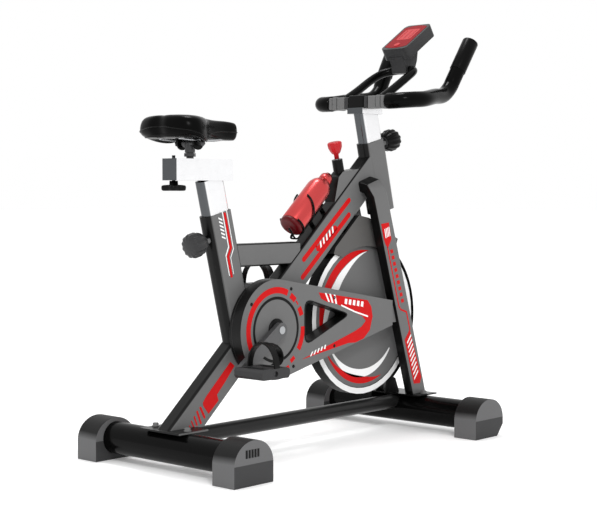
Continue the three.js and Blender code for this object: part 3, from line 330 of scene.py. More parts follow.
def principled(name, roughness, metallic, shine):
    """A new material, with its node tree and its shader."""
    material = bpy.data.materials.new(name)
    material.use_nodes = True
    tree = material.node_tree
    shader = tree.nodes["Principled BSDF"]
    shader.inputs["Roughness"].default_value = roughness
    shader.inputs["Metallic"].default_value = metallic
    shader.inputs["Specular IOR Level"].default_value = shine
    return material, tree, shader


def grain(tree, shader, scale, depth, roughness, spread, stretch=(1, 1, 1)):
    """A fine relief over the surface, and a roughness that drifts by spread on each side."""
    coordinates = tree.nodes.new("ShaderNodeTexCoord")
    mapping = tree.nodes.new("ShaderNodeMapping")
    mapping.inputs["Scale"].default_value = stretch
    fine = tree.nodes.new("ShaderNodeTexNoise")
    fine.inputs["Scale"].default_value = scale
    fine.inputs["Detail"].default_value = 3
    broad = tree.nodes.new("ShaderNodeTexNoise")
    broad.inputs["Scale"].default_value = scale / 24
    spreader = tree.nodes.new("ShaderNodeMapRange")
    spreader.inputs["To Min"].default_value = max(0.02, roughness - spread)
    spreader.inputs["To Max"].default_value = min(1, roughness + spread)
    bump = tree.nodes.new("ShaderNodeBump")
    bump.inputs["Strength"].default_value = depth
    bump.inputs["Distance"].default_value = 0.0004
    link = tree.links.new
    link(coordinates.outputs["Object"], mapping.inputs["Vector"])
    link(mapping.outputs["Vector"], fine.inputs["Vector"])
    link(mapping.outputs["Vector"], broad.inputs["Vector"])
    link(broad.outputs["Fac"], spreader.inputs["Value"])
    link(spreader.outputs["Result"], shader.inputs["Roughness"])
    link(fine.outputs["Fac"], bump.inputs["Height"])
    link(bump.outputs["Normal"], shader.inputs["Normal"])
    return broad


def sum_node(tree, operation, first, second=None):
    """One step of arithmetic on an output, with a second output or number where it needs one."""
    node = tree.nodes.new("ShaderNodeMath")
    node.operation = operation
    tree.links.new(first, node.inputs[0])
    if isinstance(second, (int, float)):
        node.inputs[1].default_value = second
    elif second is not None:
        tree.links.new(second, node.inputs[1])
    return node.outputs["Value"]


def axes_of(tree, name):
    """The X, Y and Z of the surface's Normal or Position."""
    geometry = tree.nodes.new("ShaderNodeNewGeometry")
    parts = tree.nodes.new("ShaderNodeSeparateXYZ")
    tree.links.new(geometry.outputs[name], parts.inputs["Vector"])
    return parts.outputs


def ramp(tree, value, start, end):
    """A share that grows from 0 to 1 as a value goes from start to end."""
    node = tree.nodes.new("ShaderNodeMapRange")
    node.inputs["From Min"].default_value = start
    node.inputs["From Max"].default_value = end
    tree.links.new(value, node.inputs["Value"])
    return node.outputs["Result"]


def blended(tree, share, first, second):
    """A colour that goes from the first to the second by share. Each is a colour or an output."""
    node = tree.nodes.new("ShaderNodeMix")
    node.data_type = "RGBA"
    tree.links.new(share, node.inputs["Factor"])
    for name, colour in (("A", first), ("B", second)):
        if isinstance(colour, tuple):
            node.inputs[name].default_value = (*colour, 1)
        else:
            tree.links.new(colour, node.inputs[name])
    return node.outputs["Result"]


def plain(
    name,
    colour,
    roughness,
    metallic=0.0,
    scale=900,
    depth=0.15,
    spread=0.05,
    stretch=(1, 1, 1),
    shine=0.5,
):
    """One colour with a fine grain and slightly uneven gloss."""
    material, tree, shader = principled(name, roughness, metallic, shine)
    shader.inputs["Base Color"].default_value = (*colour, 1)
    grain(tree, shader, scale, depth, roughness, spread, stretch)
    return material


def painted_side_light(name, side, edge, roughness, metallic=0.0, shine=0.15):
    """Satin paint with painted light by facing: the flat sides, which face +Y and -Y, get the lighter side
    colour as painted light and reflection, and every other face keeps the darker edge colour.
    """
    material, tree, shader = principled(name, roughness, metallic, shine)
    broad = grain(tree, shader, 1100, 0.12, roughness, 0.05)
    sideways = sum_node(tree, "ABSOLUTE", axes_of(tree, "Normal")["Y"])
    # painted light: faces turned to +Y and -Y get the lighter side colour, the rest keep the dark edge colour
    # as painted shade
    colour = blended(tree, ramp(tree, sideways, 0.8, 0.93), edge, side)
    drift = tree.nodes.new("ShaderNodeMix")
    drift.data_type = "RGBA"
    drift.blend_type = "MULTIPLY"
    drift.inputs["Factor"].default_value = 0.06
    tree.links.new(colour, drift.inputs["A"])
    tree.links.new(broad.outputs["Fac"], drift.inputs["B"])
    tree.links.new(drift.outputs["Result"], shader.inputs["Base Color"])
    return material


def foot_plastic():
    """Moulded black plastic with painted light: vertical faces painted grey as lit faces, the dome painted
    black as shade on top, and the lower half of each end darker as painted shade.
    """
    material, tree, shader = principled("foot_plastic", 0.5, 0.0, 0.15)
    grain(tree, shader, 700, 0.3, 0.5, 0.06)
    facing = axes_of(tree, "Normal")
    # painted shade: the lower half of each end, below 48 mm, is darkened
    is_low = sum_node(tree, "LESS_THAN", axes_of(tree, "Position")["Z"], 0.048)
    is_end = sum_node(tree, "GREATER_THAN", sum_node(tree, "ABSOLUTE", facing["Y"]), 0.8)
    shaded_low_end = sum_node(tree, "MULTIPLY", is_low, is_end)
    lit_side_colour = blended(tree, shaded_low_end, (0.115, 0.115, 0.117), (0.04, 0.04, 0.041))
    # painted light by facing: vertical faces are lit grey and faces turned up are black
    colour = blended(tree, ramp(tree, facing["Z"], 0.1, 0.45), lit_side_colour, (0.008, 0.008, 0.008))
    tree.links.new(colour, shader.inputs["Base Color"])
    return material


def pale_floor():
    """A matt white floor with the faintest unevenness."""
    material, tree, shader = principled("studio_floor", 0.9, 0.0, 0.1)
    shader.inputs["Base Color"].default_value = (0.95, 0.95, 0.95, 1)
    shader.inputs["Emission Color"].default_value = (1, 1, 1, 1)
    shader.inputs["Emission Strength"].default_value = 0.12
    grain(tree, shader, 40, 0.02, 0.9, 0.03)
    return material


# painted light: black paint and plastic whose flat sides are painted mid grey as lit faces, while the other
# faces keep the black
FRAME = painted_side_light("frame_paint", (0.135, 0.135, 0.135), (0.003, 0.003, 0.003), 0.3)
GUARD = painted_side_light("guard_plastic_and_side_light", (0.135, 0.135, 0.135), (0.004, 0.004, 0.004), 0.36)
HOUSING = painted_side_light("housing_plastic_and_side_light", (0.1, 0.097, 0.094), (0.015, 0.015, 0.015), 0.45)
GLOSS_BLACK = plain("gloss_black_paint", (0.002, 0.002, 0.002), 0.16, scale=1400, depth=0.02, shine=0.06)
SOFT_BLACK = plain("soft_black_sleeve", (0.002, 0.002, 0.002), 0.18, scale=1800, depth=0.03, shine=0.05)
BEAM_PAINT = plain("beam_paint", (0.012, 0.012, 0.012), 0.3, depth=0.08, shine=0.2)
FOOT = foot_plastic()
BLACK = plain("black_plastic", (0.004, 0.004, 0.004), 0.33, scale=800, depth=0.12, shine=0.1)
GREY_PLASTIC = plain("grey_plastic", (0.13, 0.13, 0.13), 0.45, scale=800, depth=0.2, shine=0.2)
DARK_GREY = plain("dark_grey_plastic", (0.03, 0.03, 0.031), 0.4, scale=800, depth=0.2, shine=0.2)
# painted reflection: the chrome's flat sides are painted nearly white, a reflection of the white surround,
# and its rounded edges dark grey
CHROME = painted_side_light("chrome", (0.93, 0.93, 0.94), (0.085, 0.09, 0.095), 0.16, metallic=0.85, shine=0.4)
STEEL = plain("machined_steel", (0.4, 0.41, 0.42), 0.32, metallic=1.0, stretch=(1, 12, 1), depth=0.1)
CRANK_GREY = plain("crank_alloy", (0.09, 0.09, 0.092), 0.35, metallic=0.5, depth=0.1)
DARK_METAL = plain("dark_metal", (0.06, 0.06, 0.062), 0.34, metallic=0.7, depth=0.08)
# painted light: the flywheel's flat faces are painted near white as lit faces, and its rim black
WHEEL_RIM = painted_side_light("flywheel_rim_and_side_light", (0.8, 0.8, 0.8), (0.004, 0.004, 0.004), 0.4, shine=0.05)
RUBBER = plain("rubber", (0.015, 0.015, 0.015), 0.75, scale=500, depth=0.4, shine=0.2)
GRIP_FOAM = plain("grip_foam", (0.003, 0.003, 0.003), 0.28, scale=2200, depth=0.1, spread=0.06, shine=0.06)
BELT = plain("belt_rubber", (0.015, 0.015, 0.015), 0.7, scale=600, depth=0.3, shine=0.2)
LEATHER = plain("saddle_skin", (0.002, 0.002, 0.002), 0.24, scale=650, depth=0.08, spread=0.05, shine=0.04)
RED = plain("red_sticker", (0.52, 0.003, 0.004), 0.4, scale=600, depth=0.04, shine=0.1)
WHITE = plain("white_sticker", (0.84, 0.84, 0.84), 0.35, scale=600, depth=0.04, shine=0.2)
BLACK_LINE = plain("black_sticker", (0.004, 0.004, 0.004), 0.4, scale=600, depth=0.04, shine=0.1)
DISC_GREY = plain("disc_grey", (0.13, 0.13, 0.13), 0.42, scale=600, depth=0.06, shine=0.15)
KNOB_RED = plain("knob_red", (0.42, 0.012, 0.016), 0.3, scale=700, depth=0.1, shine=0.2)
PANEL_RED = plain("panel_red", (0.22, 0.006, 0.01), 0.35, scale=500, depth=0.04, shine=0.04)
BOTTLE_RED = plain("bottle_red", (0.55, 0.06, 0.06), 0.24, metallic=0.85, scale=300, depth=0.03)
BOTTLE_DARK = plain("bottle_dark", (0.09, 0.002, 0.004), 0.3, scale=300, depth=0.05, shine=0.2)

# ---------------------------------------------------------------- the CAD pieces that stay


def dress_frame():
    """Painted tubes, plates and the base."""
    for node in ("main_tube", "seat_tube", "head_tube", "top_tube", "fork_leg_right", "fork_leg_left"):
        dress(node, FRAME, 2.0)
    for node in ("axle_bracket_right", "axle_bracket_left", "brake_bracket"):
        dress(node, FRAME, 1.0)
    for node in ("rear_stabiliser_tube", "front_stabiliser_tube", "front_mount_plate", "crank_bearing_shell"):
        dress(node, GLOSS_BLACK, 0.8)
    dress("centre_beam", BEAM_PAINT, 0.8)
    for label in ("rear_foot_right", "rear_foot_left", "front_foot_right", "front_foot_left"):
        dress(label, FOOT, 2.5, 3)
    dress("brake_sleeve", BLACK, 0.8)


def dress_drive():
    """Guard, flywheel, belt drive, brake, cranks, pedals and transport wheels."""
    dress("guard_outer_cover", GUARD, 2.2, 3)
    dress("guard_inner_cover", GUARD, 1.2)
    dress("brake_housing", HOUSING, 1.5)
    dress("front_fender", BLACK, 0.8)
    dress("flywheel", WHEEL_RIM, 1.0)
    for node in ("flywheel_axle", "flywheel_pulley", "crank_spindle", "brake_rod"):
        dress(node, STEEL, 0.5)
    dress("drive_pulley", STEEL, 0.8)
    dress("drive_belt", BELT, 0.4)
    dress("brake_pad", GRIP_FOAM, 1.0)
    for side in ("right", "left"):
        dress(f"crank_arm_{side}", CRANK_GREY, 2.0, 3)
        dress(f"pedal_{side}", DARK_GREY, 1.5)
        dress(f"toe_cage_{side}", BLACK, 0.6)
        dress(f"transport_wheel_{side}", RUBBER, 1.5)


def dress_posts():
    """Chrome posts, the saddle's underside, the lock pins, the cage and the console."""
    dress("seat_post", CHROME, 1.2, 3)
    dress("handlebar_post", CHROME, 1.2, 3)
    dress("saddle_slider", DARK_METAL, 0.5)
    dress("saddle_clamp", DARK_METAL, 0.8)
    dress("saddle_shell", BLACK, 1.0)
    dress("seat_lock_pin", STEEL, 0.4)
    dress("head_lock_pin", STEEL, 0.4)
    dress("bottle_cage", BLACK, 0.8)
    dress("console_case", DARK_GREY, 3.5, 3)
    dress("console_bracket", DARK_GREY, 2.5, 3)
    dress("console_button", KNOB_RED, 0.6)


# ---------------------------------------------------------------- handlebar


def mirrored(point):
    """The same point on the other side of the bike."""
    x, y, z = point
    return (x, -y, z)


def on_horn(share, sign):
    """A point of a horn: share 0 is its tip and 1 is where it starts."""
    low = Vector((HORN_START[0], sign * HORN_START[1], HORN_START[2]))
    tip = Vector((HORN_TIP[0], sign * HORN_TIP[1], HORN_TIP[2]))
    return tip.lerp(low, share)


def arm_knots(sign):
    """An arm's path from under its grip to the cross bar."""
    bend_x, bend_y, bend_z = HORN_BEND
    corner = BAR["corner"]
    across = [
        (bend_x + 3, bend_y, bend_z + 7),
        (bend_x - 30, bend_y + 3, bend_z - 14),
        (bend_x - 90, bend_y + 19, bend_z - 21),
        (BAR["x"] + 70, corner - 1, BAR["z"] + 6),
        (BAR["x"] + 34, corner - 6, BAR["z"] + 3),
        (BAR["x"] + 10, corner - 22, BAR["z"] + 1),
        (BAR["x"] + 1, corner - 44, BAR["z"]),
        (BAR["x"], corner - 64, BAR["z"]),
    ]
    under_grip = on_horn(GRIP_SHARE - 0.04, sign)
    return [under_grip, on_horn(1, sign)] + [(x, sign * y, z) for x, y, z in across]


def grip(side, sign):
    """A foam sleeve with a rolled lower edge and a domed tip."""
    tip = on_horn(0, sign)
    start = on_horn(GRIP_SHARE, sign)
    length = (tip - start).length
    r = GRIP_RADIUS
    profile = [
        (0, SLEEVE_RADIUS - 0.5),
        (0.6, r - 0.6),
        (2.5, r + 0.4),
        (5, r - 0.4),
        (7, r),
        (length - 5, r),
        (length - 2, r - 1.2),
        (length - 0.6, r - 3.5),
        (length, r - 7),
    ]
    made = turned(f"grip_sleeve_{side}", start, tip - start, profile, GRIP_FOAM, "handlebar")
    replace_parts(made, f"grip_{side}")


def loop_knots():
    """The narrow loop's path from its right clamp round to its left one."""
    right = [
        (BAR["x"] + 10, -62, BAR["z"] + 8),
        (BAR["x"] + 60, -61, BAR["z"] + 34),
        (BAR["x"] + 120, -60, BAR["z"] + 68),
        (BAR["x"] + 160, -52, BAR["z"] + 88),
        (BAR["x"] + 182, -28, BAR["z"] + 95),
    ]
    return right + [(BAR["x"] + 187, 0, BAR["z"] + 96)] + [mirrored(p) for p in reversed(right)]


def clamp_blocks():
    """The plastic blocks that hold the loop, and the clamp that holds the bar on its post."""
    x = BAR["x"]
    z = BAR["z"]
    bands = ((40, 66, 0), (67, 81, 1.2), (82, 94, 0))  # near and far Y, and how far each stands out
    for label, sign in SIDES:
        for number, (near, far, grow) in enumerate(bands):
            low_y, high_y = sorted((sign * near, sign * far))
            block(
                f"clamp_block_{label}_{number}",
                (x - 17 - grow, low_y, z - 17 - grow),
                (x + 24 + grow, high_y, z + 15 + grow),
                GREY_PLASTIC,
                "handlebar",
                3,
            )
    low = (x - 18, -25, z - 16)
    high = (x + 26, 25, z + 18)
    block("post_clamp_cap", low, high, BLACK, "handlebar", 4)
    for label, sign in SIDES:
        low_y, high_y = sorted((sign * 27, sign * 38))
        low = (x - 17, low_y, z - 17)
        high = (x + 26, high_y, z + 14)
        block(f"post_clamp_jaw_{label}", low, high, DARK_GREY, "handlebar", 2)


def handlebar():
    """Cross bar, arms, grips, loop and clamp blocks."""
    cross = [(BAR["x"], y, BAR["z"]) for y in (-104, -50, 0, 50, 104)]
    bar = tube("bar_tube", cross, BAR["radius"], GLOSS_BLACK, "handlebar")
    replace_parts(bar, "handlebar_bar")
    for side, sign in SIDES:
        tube(f"bar_arm_{side}", arm_knots(sign), SLEEVE_RADIUS, SOFT_BLACK, "handlebar")
    for side, sign in SIDES:
        grip(side, sign)
    loop = tube("loop_tube", loop_knots(), LOOP_RADIUS, GLOSS_BLACK, "handlebar")
    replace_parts(loop, "centre_loop")
    clamp_blocks()


# ---------------------------------------------------------------- knobs and bottle


def lock_knob(name, node, point, forward, material):
    """A ribbed knob with a domed end and a thin collar. It rides on the body named after its node."""
    axis = Vector((forward * math.cos(MAST_LEAN), 0, forward * math.sin(MAST_LEAN)))
    start = Vector((point[0], 0, point[1])) + axis * PIN_REACH
    profile = [(0, 12), (0.5, 17), (4, 20), (12, 25), (20, 28), (38, 28), (44, 26), (47, 20), (48, 6)]
    made = turned(name, start, axis, profile, material, node, 96, 12, 0.05)
    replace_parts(made, node)
    ring = [(0, 9), (0, 16), (1.1, 16), (1.1, 9)]
    turned(name + "_collar", start - axis * 1.2, axis, ring, DARK_GREY, node)


def star_knob():
    """The six-lobed knob under the seat rail, on its screw."""
    up = (0, 0, 1)
    profile = [(0, 8), (0, 24), (1.5, 27), (5, 28), (10, 28), (12.5, 26), (13.5, 20), (14, 10), (23, 9.5)]
    made = turned(
        "star_knob_body", STAR_KNOB, up, profile, BLACK, "star_knob", 96, 6, 0.1
    )
    screw_start = Vector(STAR_KNOB) + Vector(up) * profile[-1][0]
    turned("star_knob_screw", screw_start, up, [(0, 4), (58, 4)], STEEL, "star_knob", 24)
    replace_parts(made, "star_knob")


def brake_knob():
    """A red tapered knob on a thin red neck."""
    axis = (math.sin(BRAKE_LEAN), 0, -math.cos(BRAKE_LEAN))
    top = Vector((BRAKE_TOP[0], 0, BRAKE_TOP[1]))
    head = [(-4, 6), (-4, 15), (-2.6, 17.6), (0, 18.4), (10, 17.6), (20, 13.5), (26, 10)]
    neck = [(28, 6.2), (40, 6)]
    made = turned(
        "brake_knob_body", top, axis, head + neck, KNOB_RED, "brake_knob", 60, 9, 0.03
    )
    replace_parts(made, "brake_knob")


def bottle():
    """A metal flask with a dark base, a shoulder and a screw cap, clear of its cage."""
    slope = MAIN_TUBE["slope"]
    axis = (math.cos(slope), 0, math.sin(slope))
    start = (BOTTLE_BASE[0], 0, BOTTLE_BASE[1])
    flask = [
        (12, 30.6),
        (13, 31),
        (138, 31),
        (146, 30),
        (156, 26.5),
        (164, 21),
        (169, 17),
        (171, 16.5),
        (171, 10),
    ]
    base = [(0, 22), (0.5, 26), (3, 29.5), (6, 30.6), (11.6, 30.6), (11.6, 20)]
    cap = [
        (171.5, 10),
        (171.5, 16.5),
        (173, 17),
        (184, 17),
        (185, 16),
        (187, 16),
        (188, 14),
        (197, 9),
        (198, 5),
    ]
    made = turned("bottle_flask", start, axis, flask, BOTTLE_RED, "bottle", 64)
    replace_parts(made, "bottle")
    turned("bottle_base", start, axis, base, BOTTLE_DARK, "bottle", 64)
    turned("bottle_cap", start, axis, cap, BOTTLE_RED, "bottle", 64)


def bottle_cage():
    """A black wire cage: two hoops round the flask, two rods along it and a cup strip below it."""
    slope = MAIN_TUBE["slope"]
    wire = 2.3
    reach = 34

    def around(along, angle):
        """A point beside the flask: along it from its base, and round it from its outer side."""
        turn = math.radians(angle)
        out = reach * math.cos(turn)
        return (
            BOTTLE_BASE[0] + along * math.cos(slope) - out * math.sin(slope),
            reach * math.sin(turn),
            BOTTLE_BASE[1] + along * math.sin(slope) + out * math.cos(slope),
        )

    def bent_wire(name, knots):
        return tube(name, knots, wire, BLACK, "frame", 4, 14)

    hoop = [around(70 + 22 * math.cos(math.radians(a)), a) for a in range(30, 331, 20)]
    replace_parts(bent_wire("cage_hoop_upper", hoop), "bottle_cage")
    bent_wire("cage_hoop_lower", [around(12, a) for a in range(60, 301, 20)])
    for label, angle in (("right", 158), ("left", 202)):
        bent_wire(f"cage_rod_{label}", [around(along, angle) for along in (-6, 12, 60, 120)])
    cup = [(12, 150), (-5, 158), (-5, 180), (-5, 202), (12, 210)]
    bent_wire("cage_cup_rear", [around(along, angle) for along, angle in cup])
    heel_x, _, heel_z = around(-4.5, 180)
    toe = (BOTTLE_BASE[0] - 4.5 * math.cos(slope), 0, BOTTLE_BASE[1] - 4.5 * math.sin(slope))
    bent_wire("cage_heel", [(heel_x, 0, heel_z), toe])
    inward = Vector((math.sin(slope), 0, -math.cos(slope)))
    stud = [(-1, 5), (-1, 9), (1.5, 9), (1.5, 6), (21, 6), (21, 3)]
    for number, along in enumerate((64, 116)):
        x, _, z = around(along, 180)
        turned(f"cage_stud_{number}", (x, 0, z), inward, stud, BLACK, "frame", 24)


# ---------------------------------------------------------------- saddle

SADDLE_HALF = [
    (26, 0),
    (22, 34),
    (36, 76),
    (68, 92),
    (106, 74),
    (144, 44),
    (198, 29),
    (246, 24),
    (262, 13),
    (266, 0),
]
SPINE = (64, 246)  # the saddle's middle line, which its surface closes onto


def saddle_outline():
    """The saddle from above as a closed ring of points, left side first."""
    smooth_steps = 6
    ring = SADDLE_HALF + [(x, -y) for x, y in reversed(SADDLE_HALF[1:-1])]
    around = [ring[-1]] + ring + ring[:2]
    smooth = catmull([(x, y, 0) for x, y in around], smooth_steps)
    return smooth[smooth_steps : smooth_steps * (1 + len(ring))]


def bell(distance, width):
    """A bump that is 1 at no distance and fades to nothing over its width."""
    return math.exp(-((distance / width) ** 2))


def crown(x, y):
    """How far the top of the saddle lies below its highest point."""
    dip = 6 * bell(x - 170, 50)
    nose = 12 * min(1, max(0, (x - 150) / 110)) ** 1.5
    groove = 4.5 * bell(y, 8) * bell(x - 120, 60)
    return dip + nose + groove


def hang(x, y):
    """How far the lower edge drops: the flanks drape down and the rear edge arches up."""
    flank = min(1, max(0, (abs(y) - 20) / 40)) * bell(x - 112, 52)
    rear = bell(x, 48) * bell(y, 62)
    return 33 * flank - 14 * rear


def cushion(outline):
    """The padded top, lofted from rings of (share of the way to the middle line, height)."""
    rings = [
        (0.62, -9.0),
        (0.42, -9.0),
        (0.26, -6.5),
        (0.13, -2.5),
        (0.05, 3.0),
        (0.005, 9.0),
        (0.0, 16.0),
        (0.02, 24.0),
        (0.06, 31.5),
        (0.13, 37.5),
        (0.24, 41.5),
        (0.4, 43.6),
        (0.6, SADDLE_THICKNESS),
        (0.8, SADDLE_THICKNESS),
        (1.0, SADDLE_THICKNESS),
    ]
    points = []
    for share, height in rings:
        for p in outline:
            middle = Vector((min(max(p.x, SPINE[0]), SPINE[1]), 0, 0))
            q = p.lerp(middle, share)
            above = max(height, 0)
            drop = crown(q.x, q.y) * (above / SADDLE_THICKNESS) ** 1.5
            edge_share = max(0, 1 - share / 0.2) * max(0, 1 - above / 30)
            points.append((q.x, q.y, SADDLE_BOTTOM + height - drop - edge_share * hang(p.x, p.y)))
    count = len(outline)
    faces = [tuple(range(count))] + ring_faces(len(rings), count)
    pad = piece("saddle_cushion", points, faces, LEATHER, "saddle")
    pad.modifiers.new("weld", "WELD").merge_threshold = 0.0004
    soften = pad.modifiers.new("soften", "SUBSURF")
    soften.levels = 1
    soften.render_levels = 1
    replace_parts(pad, "saddle_pad")


def saddle():
    """Cushion, piping round its edge, rails under it and the nuts of its clamp."""
    outline = saddle_outline()
    cushion(outline)
    piping = [(p.x, p.y, SADDLE_BOTTOM + 10 - hang(p.x, p.y) * 0.64) for p in outline]
    piping.append(piping[0])
    tube("saddle_piping", piping[::2], 1.3, BLACK, "saddle", 2, 10)
    rail = [(58, 33, 760), (80, 32, 758), (120, 29, 757), (170, 27, 757), (205, 20, 760)]
    nut = [(0, 8), (3.5, 8), (4, 7), (4, 3.5), (5.5, 3.5)]
    for side, sign in SIDES:
        knots = [(x, sign * y, z) for x, y, z in rail]
        tube(f"saddle_rail_{side}", knots, 3.2, STEEL, "saddle", 6, 16)
        nut_start = (122, sign * 40, 750)
        axis = (0, sign, 0)
        turned(f"clamp_nut_{side}", nut_start, axis, nut, DARK_METAL, "saddle_slider", 6)


# ---------------------------------------------------------------- console


def on_console(x, y, z):
    """A point of the console's own frame, z out of its face, as a bench point."""
    tilt = CONSOLE["tilt"]
    return (
        CONSOLE["x"] + x * math.cos(tilt) - z * math.sin(tilt),
        y,
        CONSOLE["z"] + x * math.sin(tilt) + z * math.cos(tilt),
    )


def console_plate(name, outline, low, high, material):
    """A thin plate on the console's face."""
    count = len(outline)
    points = [on_console(x, y, low) for x, y in outline] + [on_console(x, y, high) for x, y in outline]
    faces = [tuple(range(count - 1, -1, -1)), tuple(range(count, 2 * count))]
    for k in range(count):
        after = (k + 1) % count
        faces.append((k, after, count + after, count + k))
    return piece(name, points, faces, material, "handlebar", smooth=False)


def bowed(half_length, half_width, bow):
    """A rectangle with bowed ends, in the console's plane."""
    end = [(half_length + bow * (1 - (k / 4) ** 2), half_width * k / 4) for k in range(-4, 5)]
    return end + [(-x, y) for x, y in reversed(end)]


def console():
    """A red face panel on the grey case, with a plain display window and three thin lines."""
    face = CONSOLE["thickness"] / 2
    console_plate("console_panel", bowed(54, 37, 9), face + 0.05, face + 0.7, PANEL_RED)
    window = [(-14, -24), (38, -24), (42, -18), (42, 18), (38, 24), (-14, 24), (-18, 18), (-18, -18)]
    console_plate("console_window", window, face + 0.75, face + 1.0, KNOB_RED)
    for number, y in enumerate((-16, 0, 16)):
        outline = [(-12, y - 0.8), (36, y - 0.8), (36, y + 0.8), (-12, y + 0.8)]
        console_plate(f"console_line_{number}", outline, face + 1.05, face + 1.15, PANEL_RED)


# ---------------------------------------------------------------- stickers and small parts


def window_rim():
    """The dark border of the guard's window: a ring of four-sided strips round its soft corners."""
    corners = [(452, 262), (452, 372), (618, 326)]
    corner_reach = 26
    rim_width = 5
    inner = []
    for k, corner in enumerate(corners):
        here = Vector(corner)
        before = (Vector(corners[k - 1]) - here).normalized() * corner_reach
        after = (Vector(corners[(k + 1) % 3]) - here).normalized() * corner_reach
        start = here + before
        end = here + after
        for t in (0, 0.25, 0.5, 0.75, 1):
            inner.append((1 - t) ** 2 * start + 2 * t * (1 - t) * here + t**2 * end)
    middle = Vector((505, 318))
    outer = [p + (p - middle).normalized() * rim_width for p in inner]
    strips = []
    for k in range(len(inner)):
        after = (k + 1) % len(inner)
        strips.append([tuple(inner[k]), tuple(inner[after]), tuple(outer[after]), tuple(outer[k])])
    return strips


def guard_stickers():
    """The red ring, the wedge and its white strokes, a black ring as the painted shade of the groove, and the
    window's border.
    """
    ring = [
        band(CRANK, 88, 103, 65, 205),
        band(CRANK, 88, 102, 45, 58),
        band(CRANK, 94, 98, 36, 43),
        band(CRANK, 88, 102, 18, 31),
        band(CRANK, 88, 102, -34, 1),
        band(CRANK, 91, 101, -58, -48),
        band(CRANK, 99, 107, -104, -64),
    ]
    stickers("guard_ring_stickers", ring, GUARD_FACE, RED, "frame", both=False)
    wedge = [
        (501, 388),
        (691, 358),
        (706, 340),
        (711, 314),
        (700, 280),
        (675, 260),
        (642, 252),
        (615, 253),
        (439, 226),
        (614, 274),
        (642, 282),
        (668, 292),
        (684, 305),
        (670, 318),
        (614, 339),
        (570, 355),
        (532, 363),
        (510, 372),
    ]
    stickers("guard_wedge_sticker", [wedge], GUARD_FACE, RED, "frame", both=False)
    white = row([(523, 386), (529, 385), (542, 362), (536, 363)], 3, (17, -3), (14, -3.5))
    white += row([(601, 367), (610, 365.5), (608, 352), (599, 354.5)], 5, (16, -2.6))
    white += row([(468, 231), (473, 232), (480, 243), (475, 242)], 5, (13, 3.4), (12, 3.2))
    white.append([(586, 353), (640, 333), (692, 318), (692, 314), (640, 329), (586, 349)])
    stickers("guard_white_strokes", white, GUARD_FACE, WHITE, "frame", both=False, lift=WHITE_LIFT)
    # painted shade: a flat black ring stands in for the shade inside the groove round the crank
    groove = [band(CRANK, 73, 80, 0, 180), band(CRANK, 73, 80, 180, 360)]
    stickers("guard_groove_shade", groove, GUARD_FACE, BLACK_LINE, "frame", both=False)
    stickers("guard_window_frame", window_rim(), GUARD_FACE, BLACK_LINE, "frame", both=False, lift=0.1)


def guard_screws():
    """Screws round the guard and the round cap where the spindle leaves it."""
    outward = (0, -1, 0)
    screw = [(0, 2), (0, 4.2), (0.9, 4.2), (1.6, 3), (1.6, 1.2), (0.7, 0.9)]
    spots = ((262, 372), (262, 236), (400, 402), (408, 212), (560, 372), (560, 250))
    for number, (x, z) in enumerate(spots):
        start = (x, -GUARD_FACE, z)
        turned(f"guard_screw_{number}", start, outward, screw, BLACK, "frame", 20)
    cap = [(0, 11), (0, 27), (2.5, 27), (4.5, 23), (4.5, 11)]
    start = (CRANK[0], -GUARD_FACE, CRANK[1])
    turned("crank_cap", start, outward, cap, BLACK, "frame", 48)


def main_tube_stickers():
    """Red bars and blocks and white strokes on the main tube."""

    def on_tube(outlines):
        return [[on_main_tube(u, v) for u, v in outline] for outline in outlines]

    red = [
        stripe((539, 15), (766, 9), 6.5),
        stripe((506, -15), (741, -19), 6.5),
        [(594, 10), (600, 4), (680, 0), (686, -8), (684, -14), (672, -14), (594, -10), (588, -2)],
        [(190, 13), (193, -4), (150, -9), (108, -12), (102, -26), (59, -25), (60, 1), (64, 8), (80, 11)],
        stripe((51, 5), (45, -21), 3),
        stripe((38, 6), (28, -22), 2.7),
        stripe((24, 4), (17, -16), 2.2),
        stripe((11, 3), (7, -12), 1.8),
        stripe((0, 0), (-2, -8), 1.4),
    ]
    face = MAIN_TUBE["face"]
    stickers("main_tube_red", on_tube(red), face, RED, "frame")
    white = row([(603, -7), (609, -7), (617, 7), (611, 7)], 5, (14.5, -1))
    stickers("main_tube_white", on_tube(white), face, WHITE, "frame", lift=WHITE_LIFT)


def mast_stickers(name, outlines, base, lean, face, material, lift=0.0):
    """Stickers whose outlines follow a leaning tube."""
    leaning = [on_mast(outline, base, lean) for outline in outlines]
    stickers(name, leaning, face, material, "frame", lift=lift)


def seat_tube_stickers():
    """A stepped red line with white edges, and white strokes beside it."""
    red = [(13, -2), (13, -88), (-1, -106), (-1, -156), (-8, -156), (-8, -104), (6, -86), (6, 0)]
    white = [
        [(4, 2), (4, -84), (-10, -102), (-10, -150), (-12, -150), (-12, -100), (1.5, -82), (1.5, 2)],
        [(18, 2), (18, -92), (4, -110), (4, -150), (2.5, -150), (2.5, -109), (16, -91), (16, 2)],
    ]
    white += row([(-2, -14), (-2, -18), (-13, -11), (-13, -7)], 6, (0, -9))
    mast_stickers("seat_tube_red", [red], SEAT_TUBE_TOP, MAST_LEAN, SEAT_TUBE_FACE, RED)
    mast_stickers("seat_tube_white", white, SEAT_TUBE_TOP, MAST_LEAN, SEAT_TUBE_FACE, WHITE)


